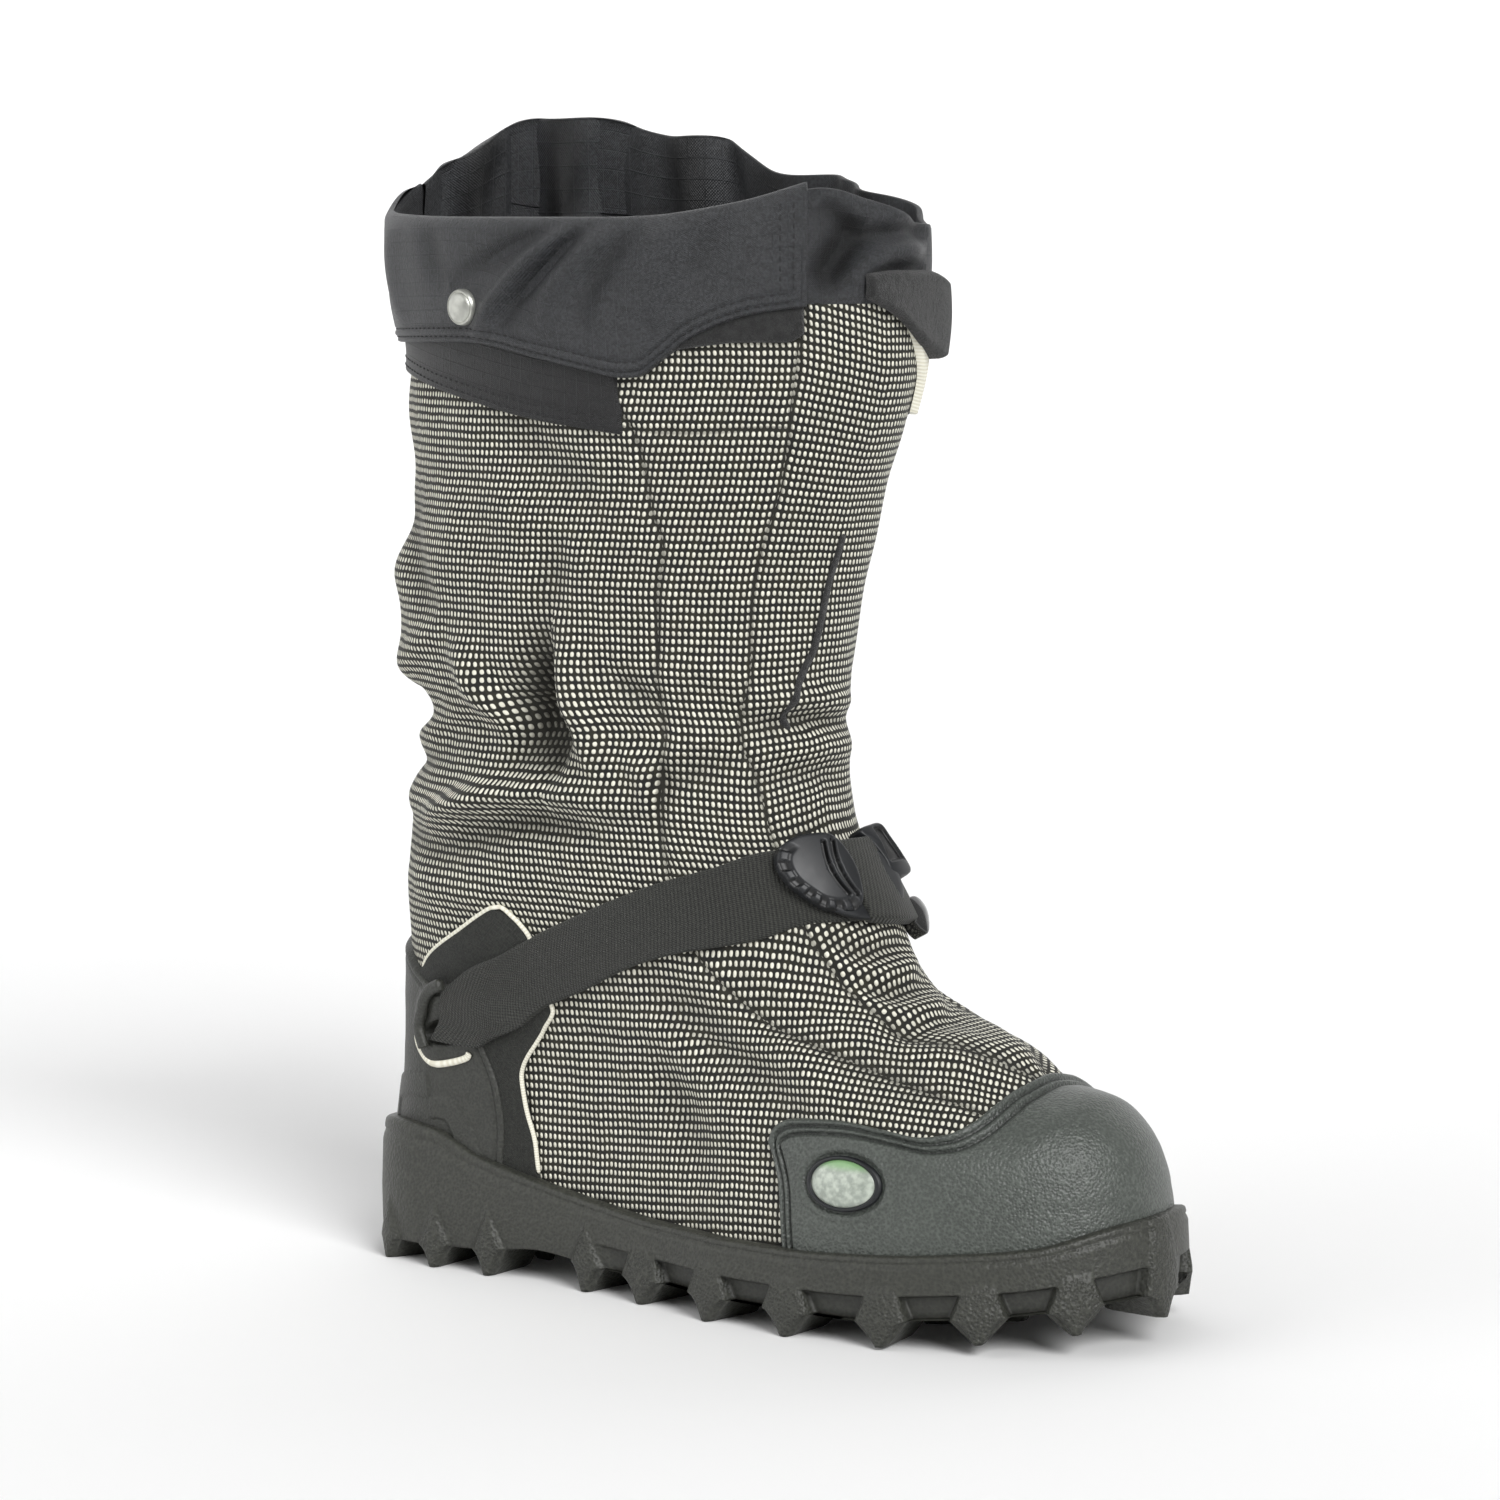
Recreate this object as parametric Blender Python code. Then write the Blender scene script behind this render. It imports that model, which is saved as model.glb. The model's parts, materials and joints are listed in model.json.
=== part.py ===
"""Winter overshoe for the right foot: toe along +X, inner side +Y, floor at z = 0."""
import math
from collections import namedtuple

import bmesh
import bpy
import numpy as np

# Driving sizes, all in millimetres (the objects are made in metres)
MM = 0.001
SOLE_BACK, SOLE_FRONT = -158.0, 158.0     # heel and toe ends of the sole
HEEL_ROUND = 36.0                         # length of the rounded heel end
TOE_ROUND_OUT, TOE_ROUND_IN = 72.0, 50.0  # length of the rounded toe end on either side
LUG_FOOT, LUG_TIP = 10.5, 2.4             # half widths of a lug at its foot and at its tip
LUG_REACH = 23.0                          # how far a lug runs in under the sole
TREAD_EDGE = 27.0                         # inset where the middle of the tread starts
TIP_IN, FOOT_IN = 0.8, 3.5                # insets of a lug's tip and of the tread between lugs
RIB_APEX = 0.55                           # share of the side wall's height where a rib ends
RIB_OUT = 2.4                             # how far the rib over a lug stands out
LIP_IN = 2.2                              # inset of the side wall's top edge
UPPER_IN = 7.0                            # inset of the upper from the sole outline
CLOTH = 2.0                               # wall of the upper
GAP = 0.4                                 # clearance between stacked pieces
SEAT = 0.7                                # gap between the lip and what stands on it
LIE = 0.7                                 # inner face of an overlay over the cloth
CUP = 1.1                                 # inner face of the sole's side wall over the cloth
BED = 20.0                                # height of the sole's bed under the ball
INSOLE = 4.0                              # thickness of the footbed
UPPER_TOP = 340.0                         # level where the cloth ends and the collar starts
STRAP = 1.6                               # thickness of the webbing
FOOTBED_CLEAR = 1.2                       # gap between the footbed and the cloth round it
TAB_THICK = 2.2                           # thickness of the fuzzy tab at the front

Lay = namedtuple("Lay", "under over")     # inner and outer face of a piece over the cloth
BAND_LAY, FLAP_LAY, TAPE_LAY = Lay(LIE, 2.0), Lay(2.9, 4.4), Lay(1.1, 2.4)
TOE_LAY, HEEL_LAY, PATCH_LAY = Lay(LIE, 2.6), Lay(0.9, 2.8), Lay(LIE, 1.8)
LOOP_LAY = Lay(5.5, 7.2)

Step = namedtuple("Step", "inset drop")
GROOVE = (  # line round the side wall, below its top edge
    Step(0.6, 4.6), Step(1.5, 3.9), Step(1.0, 3.1))

Plan = namedtuple("Plan", "x outer inner")
PLAN = (  # half widths of the sole outline
    Plan(-158, 41.0, 41.0), Plan(-110, 42.0, 42.0), Plan(-60, 42.0, 38.0),
    Plan(-15, 48.0, 40.0), Plan(25, 57.0, 50.0), Plan(60, 58.5, 58.5),
    Plan(90, 56.0, 60.0), Plan(120, 52.0, 59.0), Plan(158, 50.0, 56.0))

Side = namedtuple("Side", "x floor base bed wall")
SIDE = (  # heights along the sole: lug tips, between the lugs, bed and top of the side wall
    Side(-158, 1.5, 9.0, 26.0, 43.5), Side(-148, 0.0, 7.5, 26.0, 46.5),
    Side(-125, 0.0, 7.5, 26.0, 50.0), Side(-108, 0.0, 8.0, 26.0, 49.0),
    Side(-90, 0.0, 9.0, 25.5, 41.5), Side(-68, 0.0, 11.5, 24.5, 36.0),
    Side(-40, 0.0, 9.0, 22.5, 31.0), Side(-10, 0.0, 8.5, 20.5, 28.5),
    Side(40, 0.0, 8.5, 20.0, 28.5), Side(70, 0.0, 8.5, 20.0, 30.0),
    Side(100, 2.5, 11.0, 21.0, 32.5), Side(125, 5.0, 13.5, 23.0, 35.5),
    Side(145, 8.0, 16.5, 26.0, 42.0), Side(158, 10.0, 18.5, 28.0, 44.5))

Lug = namedtuple("Lug", "outer inner")
LUGS = (  # places of the side lugs along the shoe; one more stands at each end
    Lug(-137.0, -137.0), Lug(-113.5, -112.0), Lug(-89.5, -88.0), Lug(-46.0, -50.0),
    Lug(-19.0, -22.0), Lug(14.0, 10.0), Lug(48.0, 44.0), Lug(84.6, 80.0),
    Lug(116.7, 112.0), Lug(143.5, 141.0))

BETWEEN_LUGS = (3, 0, 0, 2, 0, 1, 1, 1, 1, 0, 1)  # columns in the gap before each lug

Ring = namedtuple("Ring", "z back front half heel toe skew centre plan")
RINGS = (  # outlines of the upper at rising levels
    Ring(18, -151.0, 150.5, 35.0, 34.0, 56.0, 0.18, 0.0, 1.00),
    Ring(35, -151.0, 150.5, 35.0, 34.0, 58.0, 0.18, 0.0, 1.00),
    Ring(47, -149.5, 149.0, 36.0, 34.0, 60.0, 0.16, 0.5, 0.97),
    Ring(57, -148.0, 144.0, 39.0, 34.0, 62.0, 0.12, 1.0, 0.88),
    Ring(66, -146.5, 135.5, 41.0, 35.0, 66.0, 0.08, 1.5, 0.78),
    Ring(73, -146.0, 126.0, 42.0, 36.0, 71.0, 0.05, 2.0, 0.70),
    Ring(80, -145.5, 115.5, 43.0, 38.0, 80.0, 0.02, 2.0, 0.60),
    Ring(86, -145.5, 107.5, 43.0, 40.0, 90.0, 0.00, 2.0, 0.52),
    Ring(90.5, -145.5, 100.0, 43.5, 42.0, 100.0, 0.00, 1.5, 0.45),
    Ring(94, -145.5, 90.0, 44.0, 44.0, 106.0, 0.00, 1.0, 0.40),
    Ring(100, -145.5, 74.5, 44.0, 47.0, 104.0, 0.00, 1.0, 0.33),
    Ring(108, -145.5, 64.0, 45.0, 51.0, 98.0, 0.00, 0.5, 0.24),
    Ring(118, -146.0, 56.0, 46.0, 56.0, 92.0, 0.00, 0.0, 0.15),
    Ring(132, -147.0, 48.5, 47.5, 64.0, 87.0, 0.00, 0.0, 0.06),
    Ring(148, -147.0, 38.0, 49.0, 74.0, 84.0, 0.00, 0.0, 0.0),
    Ring(165, -145.5, 29.0, 50.5, 82.0, 82.0, 0.00, 0.0, 0.0),
    Ring(180, -142.0, 27.0, 51.5, 82.0, 82.0, 0.00, 0.0, 0.0),
    Ring(194, -137.0, 26.8, 52.0, 81.9, 81.9, 0.00, 0.0, 0.0),
    Ring(206, -145.0, 27.5, 53.5, 86.0, 86.0, 0.00, 0.0, 0.0),
    Ring(220, -150.0, 29.3, 54.0, 89.6, 89.6, 0.00, 0.0, 0.0),
    Ring(240, -150.0, 32.0, 55.5, 91.0, 91.0, 0.00, 0.0, 0.0),
    Ring(264, -145.5, 37.3, 57.0, 91.4, 91.4, 0.00, 0.0, 0.0),
    Ring(281, -143.0, 42.7, 58.0, 92.9, 92.9, 0.00, 0.0, 0.0),
    Ring(300, -144.5, 50.0, 60.0, 97.5, 97.5, 0.00, 0.0, 0.0),
    Ring(320, -143.0, 55.0, 61.0, 99.0, 99.0, 0.00, 0.0, 0.0),
    Ring(342, -148.0, 56.0, 62.0, 102.0, 102.0, 0.00, 0.0, 0.0),
    Ring(366, -150.0, 56.0, 62.5, 103.0, 103.0, 0.00, 0.0, 0.0),
    Ring(408, -148.0, 50.0, 61.0, 99.0, 99.0, 0.00, 0.0, 0.0))

Rim = namedtuple("Rim", "s z")
RIM = (  # height of the collar's edge round the shaft, higher on the inner side
    Rim(0.0, 380), Rim(0.08, 371), Rim(0.2, 368), Rim(0.4, 367), Rim(0.6, 367),
    Rim(0.7, 368.5), Rim(0.8, 373), Rim(0.87, 378), Rim(0.94, 374), Rim(1.02, 367),
    Rim(1.1, 366), Rim(1.2, 371), Rim(1.3, 380), Rim(1.4, 384), Rim(1.5, 389),
    Rim(1.6, 397), Rim(1.7, 400), Rim(1.82, 404), Rim(1.9, 396), Rim(2.0, 380))

# Edges of the overlays: s runs 0 (back) to 1 (front) round the outer side, then 1 to 2
# round the inner side; z is the level. Each row is one station along the piece.
Edge = namedtuple("Edge", "s_low z_low s_high z_high")
BAND = (
    Edge(-0.85, 300, -0.85, 339), Edge(-0.60, 304, -0.60, 339), Edge(-0.40, 306, -0.40, 339),
    Edge(-0.15, 313, -0.15, 339), Edge(0.0, 315, 0.0, 339), Edge(0.13, 313.5, 0.13, 339),
    Edge(0.30, 307.3, 0.30, 339), Edge(0.47, 300, 0.46, 339), Edge(0.622, 295.2, 0.58, 339))
FLAP = (
    Edge(-0.50, 334, -0.50, 365), Edge(-0.20, 326, -0.20, 369), Edge(0.0, 325, 0.0, 372),
    Edge(0.115, 324, 0.115, 368), Edge(0.35, 325, 0.35, 366), Edge(0.494, 319.6, 0.494, 366),
    Edge(0.607, 314.4, 0.607, 366), Edge(0.632, 314.8, 0.64, 366.2),
    Edge(0.667, 320.9, 0.67, 366.8), Edge(0.70, 327.2, 0.70, 367.5),
    Edge(0.777, 335.1, 0.777, 371), Edge(0.852, 338.1, 0.856, 375.5))
HOOK_STRIP = (
    Edge(0.645, 322, 0.645, 339), Edge(0.70, 324.5, 0.70, 339), Edge(0.77, 326.4, 0.77, 339),
    Edge(0.824, 326.4, 0.824, 339), Edge(0.848, 329, 0.848, 339))
FRONT_TAB = (
    Edge(0.925, 341, 0.925, 349), Edge(0.97, 335, 0.97, 350), Edge(1.03, 325, 1.03, 350),
    Edge(1.09, 320, 1.09, 347), Edge(1.15, 322, 1.15, 345), Edge(1.24, 326, 1.24, 345))
FRONT_TAB_OUT = (3.0, 3.4, 4.4, 6.4, 4.4, 3.2)
EDGE_TAPE = (
    Edge(1.02, 300, 1.105, 299), Edge(1.01, 311, 1.115, 311), Edge(0.995, 322, 1.12, 322),
    Edge(0.965, 332, 1.12, 331), Edge(0.94, 338.5, 1.12, 338.5))
TOE_CAP = (
    Edge(0.624, 0, 0.615, 62.3), Edge(0.638, 0, 0.630, 67.0), Edge(0.665, 0, 0.658, 70.5),
    Edge(0.72, 0, 0.719, 72.0), Edge(0.767, 0, 0.767, 70.2), Edge(0.80, 0, 0.80, 68.4),
    Edge(0.829, 0, 0.829, 69.3), Edge(0.865, 0, 0.865, 72.6), Edge(0.91, 0, 0.91, 77.9),
    Edge(0.951, 0, 0.951, 81.9), Edge(1.0, 0, 1.0, 84.2))
COUNTER = (
    Edge(-0.245, 0, -0.242, 102), Edge(-0.20, 0, -0.20, 101), Edge(-0.11, 0, -0.11, 110),
    Edge(0.0, 0, 0.0, 114), Edge(0.11, 0, 0.11, 110), Edge(0.20, 0, 0.20, 101),
    Edge(0.245, 0, 0.242, 102))
HEEL_PATCH = (
    Edge(0.252, 0, 0.289, 0), Edge(0.252, 46, 0.283, 44.4), Edge(0.252, 57, 0.275, 57),
    Edge(0.252, 68, 0.277, 68.6), Edge(0.252, 77, 0.300, 78), Edge(0.252, 87, 0.353, 90),
    Edge(0.252, 96, 0.398, 97.2), Edge(0.252, 104.5, 0.425, 121), Edge(0.245, 105.5, 0.40, 129),
    Edge(0.235, 105.5, 0.37, 131), Edge(0.222, 105, 0.289, 121.2), Edge(0.205, 104.5, 0.217, 112))
WEBBING = (
    Edge(0.170, 80.5, 0.235, 100.5), Edge(0.232, 79.6, 0.293, 108.8), Edge(0.262, 83.2, 0.35, 114),
    Edge(0.402, 98.2, 0.422, 121.7), Edge(0.481, 105.1, 0.500, 129.5),
    Edge(0.601, 116.3, 0.600, 138.5), Edge(0.680, 121.6, 0.672, 144.2),
    Edge(0.789, 126.4, 0.766, 150.1), Edge(0.893, 132.5, 0.873, 156), Edge(1.0, 132, 0.985, 156),
    Edge(1.09, 129, 1.085, 153), Edge(1.165, 124.5, 1.16, 148.5))
WEBBING_UNDER = (3.4, 3.4, 3.2, 2.4, 1.4, 0.8, 0.8, 0.8, 0.8, 0.8, 0.8, 0.8)
WEBBING_IN = (
    Edge(1.215, 121, 1.21, 145.5), Edge(1.33, 114, 1.33, 138.5), Edge(1.50, 104.5, 1.49, 129),
    Edge(1.598, 98.2, 1.578, 121.7), Edge(1.738, 83.2, 1.65, 114), Edge(1.768, 79.6, 1.707, 108.8),
    Edge(1.830, 80.5, 1.765, 100.5))
WEBBING_IN_UNDER = (0.8, 0.8, 1.0, 2.4, 3.2, 3.4, 3.4)
LOOP = (
    Edge(0.150, 85.0, 0.172, 81.0), Edge(0.170, 93.5, 0.192, 89.0), Edge(0.205, 101.5, 0.222, 96.5),
    Edge(0.235, 105.5, 0.246, 100.5))
SLOT_CELLS = ((3, 13), (3, 14))

Spot = namedtuple("Spot", "x y")
TAB_OUTLINE = (  # thumb tab of the buckle, seen square on
    Spot(-11.8, 11.4), Spot(-5.0, 12.4), Spot(1.8, 11.7), Spot(6.2, 6.9), Spot(9.4, -1.2),
    Spot(9.9, -10.1), Spot(7.6, -14.6), Spot(2.2, -15.6), Spot(-4.9, -13.8), Spot(-10.4, -9.6),
    Spot(-15.8, -4.0), Spot(-18.3, 2.6), Spot(-17.2, 7.8))
KEEPER_OUTLINE = (
    Spot(-9.0, 12.5), Spot(0.0, 14.0), Spot(8.0, 13.0), Spot(9.5, 2.0), Spot(9.0, -11.0),
    Spot(5.0, -13.5), Spot(-4.0, -13.5), Spot(-8.5, -10.0), Spot(-9.5, 2.0))
HOOK_OUTLINE = (
    Spot(-5.5, 12.0), Spot(0.0, 13.0), Spot(5.0, 12.0), Spot(6.0, 4.0), Spot(6.0, -8.0),
    Spot(4.5, -12.5), Spot(-1.0, -13.5), Spot(-5.5, -12.0), Spot(-6.0, 0.0))

Level = namedtuple("Level", "scale out")
TAB_LEVELS = (Level(0.4, 5.0), Level(0.75, 5.0), Level(0.95, 5.0), Level(1.0, 6.0),
              Level(1.0, 8.0), Level(0.92, 9.0), Level(0.7, 9.2), Level(0.4, 9.2))
BASE_LEVELS = (Level(0.35, 2.9), Level(0.7, 2.9), Level(0.97, 2.9), Level(1.0, 3.2),
               Level(1.0, 4.2), Level(0.96, 4.6), Level(0.7, 4.6), Level(0.35, 4.6))
KEEPER_LEVELS = (Level(0.4, 5.0), Level(0.75, 5.0), Level(1.0, 5.0), Level(1.0, 7.4),
                 Level(0.88, 8.4), Level(0.7, 8.4), Level(0.4, 8.4))
HOOK_LEVELS = (Level(0.4, 2.9), Level(0.75, 2.9), Level(1.0, 2.9), Level(1.0, 6.2),
               Level(0.85, 7.8), Level(0.6, 8.0), Level(0.35, 8.0))
SNAP_LEVELS = (Level(0.5, 4.6), Level(0.92, 4.6), Level(1.0, 5.2), Level(1.0, 5.8),
               Level(0.9, 6.7), Level(0.68, 7.4), Level(0.35, 7.8))
BEZEL_LEVELS = (Level(0.82, 3.0), Level(1.0, 3.0), Level(1.0, 3.7), Level(0.93, 4.3),
                Level(0.84, 4.0))
DOME_LEVELS = (Level(0.5, 3.0), Level(0.78, 3.0), Level(0.78, 3.5), Level(0.66, 4.3),
               Level(0.45, 4.9), Level(0.22, 5.2))

Paint = namedtuple("Paint", "red green blue rough metal")
FINISH = {
    "outsole": Paint(0.062, 0.064, 0.053, 0.62, 0.0), "insole": Paint(0.05, 0.05, 0.05, 0.9, 0.0),
    "upper": Paint(0.20, 0.19, 0.155, 0.9, 0.0), "collar": Paint(0.042, 0.042, 0.045, 0.7, 0.0),
    "rubber": Paint(0.10, 0.11, 0.10, 0.5, 0.0), "heel": Paint(0.072, 0.074, 0.065, 0.6, 0.0),
    "webbing": Paint(0.04, 0.041, 0.036, 0.85, 0.0), "plastic": Paint(0.07, 0.073, 0.08, 0.4, 0.0),
    "fuzzy": Paint(0.014, 0.014, 0.014, 0.95, 0.0), "cream": Paint(0.85, 0.83, 0.72, 0.6, 0.0),
    "snap": Paint(0.38, 0.39, 0.36, 0.35, 0.9), "badge": Paint(0.43, 0.50, 0.39, 0.25, 0.1)}


def curve(rows, column, at):
    """Smooth value of one named column at a position, flat beyond the first and last row."""
    x = np.array([row[0] for row in rows], float)
    y = np.array([getattr(row, column) for row in rows], float)
    at = np.clip(np.asarray(at, float), x[0], x[-1])
    step = np.diff(x)
    rise = np.diff(y) / step
    slope = np.zeros(len(x))
    slope[0], slope[-1] = rise[0], rise[-1]
    both = rise[:-1] * rise[1:]
    safe = np.where(both > 0, rise[:-1] + rise[1:], 1.0)
    slope[1:-1] = np.where(both > 0, 2.0 * both / safe, 0.0)
    k = np.clip(np.searchsorted(x, at, side="right") - 1, 0, len(x) - 2)
    t = (at - x[k]) / step[k]
    return ((1 + 2 * t) * (1 - t) ** 2 * y[k] + t * (1 - t) ** 2 * step[k] * slope[k]
            + t * t * (3 - 2 * t) * y[k + 1] + t * t * (t - 1) * step[k] * slope[k + 1])


def rounded(t):
    """Quarter circle that rises from 0 at t = 0 to 1 at t = 1 and stays there."""
    return np.sqrt(1.0 - (1.0 - np.clip(t, 0.0, 1.0)) ** 2)


def lengths(points):
    """Distance along a polyline at each of its points."""
    return np.r_[0.0, np.cumsum(np.linalg.norm(np.diff(points, axis=0), axis=1))]


def along(points, fractions):
    """Points at fractions of the length of a polyline."""
    length = lengths(points)
    want = np.asarray(fractions) * length[-1]
    return np.stack([np.interp(want, length, points[:, k]) for k in range(points.shape[1])], 1)


# The last: one face function for the upper and everything laid on it

SAMPLES = 181      # points that describe half of one outline
TURN_STEPS = 160   # columns of the face table on each side
LEVEL_STEP = 1.0   # height between two rows of the face table


def half_ring(z, sign):
    """Outline of the upper at one level, back to front; sign -1 is the outer side."""
    row = {name: float(curve(RINGS, name, z)) for name in Ring._fields[1:]}
    turn = np.linspace(0.0, math.pi, SAMPLES)
    x = row["back"] + (row["front"] - row["back"]) * (1 - np.cos(turn)) / 2
    plan = curve(PLAN, "outer" if sign < 0 else "inner", x) - UPPER_IN
    half = row["half"] + (plan - row["half"]) * row["plan"]
    toe = row["toe"] * (1.0 - sign * row["skew"])
    half = half * rounded((x - row["back"]) / row["heel"]) * rounded((row["front"] - x) / toe)
    centre = row["centre"] * np.clip((x - row["back"]) / 100.0, 0.0, 1.0)
    fade = max(0.0, 1.0 - max(0.0, z - BED) / 40.0)
    lift = (curve(SIDE, "bed", x) - BED) * fade
    return np.stack([x, centre + sign * half, z + lift], 1)


def face_table():
    """Points and outward normals of the upper's face at even levels and turns."""
    levels = np.arange(RINGS[0].z, RINGS[-1].z + LEVEL_STEP, LEVEL_STEP)
    share = np.linspace(0.0, 1.0, TURN_STEPS + 1)
    rows = []
    for z in levels:
        outer, inner = along(half_ring(z, -1), share), along(half_ring(z, 1), share)
        rows.append(np.vstack([outer, inner[-2::-1]]))
    face = np.array(rows)
    open_face = face[:, :-1]
    turn = np.roll(open_face, -1, 1) - np.roll(open_face, 1, 1)
    normal = np.cross(turn, np.gradient(open_face, axis=0))
    normal /= np.linalg.norm(normal, axis=2, keepdims=True)
    return levels, face, np.concatenate([normal, normal[:, :1]], 1)


LEVELS, FACE, NORMAL = face_table()


def form(s, z, out=0.0):
    """Points of the upper's face at turns s and levels z, moved outwards by out."""
    s, z, out = np.broadcast_arrays(np.mod(s, 2.0), z, out)
    u = s * TURN_STEPS
    v = np.clip((z - LEVELS[0]) / LEVEL_STEP, 0, len(LEVELS) - 1.001)
    j, i = np.minimum(u.astype(int), 2 * TURN_STEPS - 1), v.astype(int)
    fu, fv = (u - j)[..., None], (v - i)[..., None]

    def blend(table):
        return ((table[i, j] * (1 - fu) + table[i, j + 1] * fu) * (1 - fv)
                + (table[i + 1, j] * (1 - fu) + table[i + 1, j + 1] * fu) * fv)

    return blend(FACE) + blend(NORMAL) * out[..., None]


def level_at(s, height):
    """Level whose real height at turn s equals the wanted height."""
    z = np.array(height, float)
    for _ in range(8):
        z = z + height - form(s, z)[..., 2]
    return z


def wall_height(s):
    """Height of the top of the sole's side wall next to the upper at turn s."""
    height = np.full(np.shape(s), 35.0)
    for _ in range(6):
        height = curve(SIDE, "wall", form(s, level_at(s, height))[..., 0])
    return height


def lip_level(s):
    """Level just above the top of the side wall."""
    return level_at(s, wall_height(s) + SEAT)


def on_lip(edge):
    """The station with each level of 0 replaced by the level of the lip."""
    return Edge(edge.s_low, edge.z_low or float(lip_level(edge.s_low)),
                edge.s_high, edge.z_high or float(lip_level(edge.s_high)))


# Solids from point grids

def finish(name, mesh, paint):
    """Drop loose points, turn the faces outwards and make the object with its material."""
    loose = [v for v in mesh.verts if not v.link_faces]
    bmesh.ops.delete(mesh, geom=loose, context="VERTS")
    bmesh.ops.recalc_face_normals(mesh, faces=mesh.faces)
    data = bpy.data.meshes.new(name)
    mesh.to_mesh(data)
    mesh.free()
    data.materials.append(material(paint))
    body = bpy.data.objects.new(name, data)
    bpy.context.scene.collection.objects.link(body)
    return body


def material(name):
    """Principled material of one named finish."""
    paint = FINISH[name]
    made = bpy.data.materials.get(name)
    if made is None:
        made = bpy.data.materials.new(name)
        made.use_nodes = True
        shader = made.node_tree.nodes["Principled BSDF"]
        shader.inputs["Base Color"].default_value = (paint.red, paint.green, paint.blue, 1.0)
        shader.inputs["Roughness"].default_value = paint.rough
        shader.inputs["Metallic"].default_value = paint.metal
    return made


def shell(name, outer, inner, paint, wrap=False, openings=()):
    """Closed wall between two point grids, with openings through some of the cells."""
    rows, cols = outer.shape[:2]
    mesh = bmesh.new()
    skins = [[[mesh.verts.new(p * MM) for p in row] for row in grid] for grid in (outer, inner)]
    border = set()
    for i in range(rows - 1):
        for j in range(cols if wrap else cols - 1):
            if (i, j) in openings:
                continue
            k = (j + 1) % cols
            loop = ((i, j), (i, k), (i + 1, k), (i + 1, j))
            mesh.faces.new([skins[0][a][b] for a, b in loop])
            mesh.faces.new([skins[1][a][b] for a, b in reversed(loop)])
            for edge in zip(loop, loop[1:] + loop[:1]):
                border ^= {tuple(sorted(edge))}
    for (a, b), (c, d) in sorted(border):
        mesh.faces.new((skins[0][a][b], skins[0][c][d], skins[1][c][d], skins[1][a][b]))
    return finish(name, mesh, paint)


def layer(name, edges, along_steps, across_steps, lay, paint, openings=()):
    """Overlay on the upper between a lower and an upper edge; a z_low of 0 is the sole's lip."""
    station = np.linspace(0, len(edges) - 1, along_steps + 1)
    numbered = namedtuple("Numbered", ("k",) + Edge._fields + ("under", "over"))
    under, over = [np.broadcast_to(out, len(edges)) for out in lay]
    rows = [numbered(k, *on_lip(edge), under[k], over[k]) for k, edge in enumerate(edges)]
    column = {c: curve(rows, c, station) for c in numbered._fields[1:]}
    if all(edge.z_low == 0 for edge in edges):
        column["z_low"] = lip_level(column["s_low"])
    t = np.linspace(0.0, 1.0, across_steps + 1)[:, None]
    s = column["s_low"] * (1 - t) + column["s_high"] * t
    z = column["z_low"] * (1 - t) + column["z_high"] * t
    return shell(name, form(s, z, column["over"] + 0 * t), form(s, z, column["under"] + 0 * t),
                 paint, openings=openings)


def moulding(name, s0, z0, outline, levels, paint, ring=False):
    """Small moulded piece that follows the upper round a spot, built up in levels."""
    step = 0.01
    per_s = np.linalg.norm(form(s0 + step, z0) - form(s0 - step, z0)) / (2 * step)
    per_z = np.linalg.norm(form(s0, z0 + 1.0) - form(s0, z0 - 1.0)) / 2.0
    mesh = bmesh.new()
    loops = []
    for level in levels:
        s = np.array([s0 + spot.x * level.scale / per_s for spot in outline])
        z = np.array([z0 + spot.y * level.scale / per_z for spot in outline])
        loops.append([mesh.verts.new(p * MM) for p in form(s, z, level.out)])
    pairs = list(zip(loops, loops[1:] + loops[:1] if ring else loops[1:]))
    for low, high in pairs:
        for k in range(len(outline)):
            n = (k + 1) % len(outline)
            mesh.faces.new((low[k], low[n], high[n], high[k]))
    if not ring:
        for loop, level in ((loops[0], levels[0]), (loops[-1], levels[-1])):
            middle = mesh.verts.new(form(s0, z0, level.out) * MM)
            for k in range(len(outline)):
                mesh.faces.new((loop[k], loop[(k + 1) % len(outline)], middle))
    return finish(name, mesh, paint)


def oval(half_length, half_height, steps=20):
    """Outline of an oval as spots round its middle."""
    turn = [2 * math.pi * k / steps for k in range(steps)]
    return [Spot(half_length * math.cos(a), half_height * math.sin(a)) for a in turn]


# The sole

def sole_half(sign):
    """Half outline of the sole, back to front; sign -1 is the outer side."""
    turn = np.linspace(0.0, math.pi, 2 * SAMPLES)
    x = SOLE_BACK + (SOLE_FRONT - SOLE_BACK) * (1 - np.cos(turn)) / 2
    toe = TOE_ROUND_OUT if sign < 0 else TOE_ROUND_IN
    half = curve(PLAN, "outer" if sign < 0 else "inner", x)
    half = half * rounded((x - SOLE_BACK) / HEEL_ROUND) * rounded((SOLE_FRONT - x) / toe)
    return np.stack([x, sign * half], 1)


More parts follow.
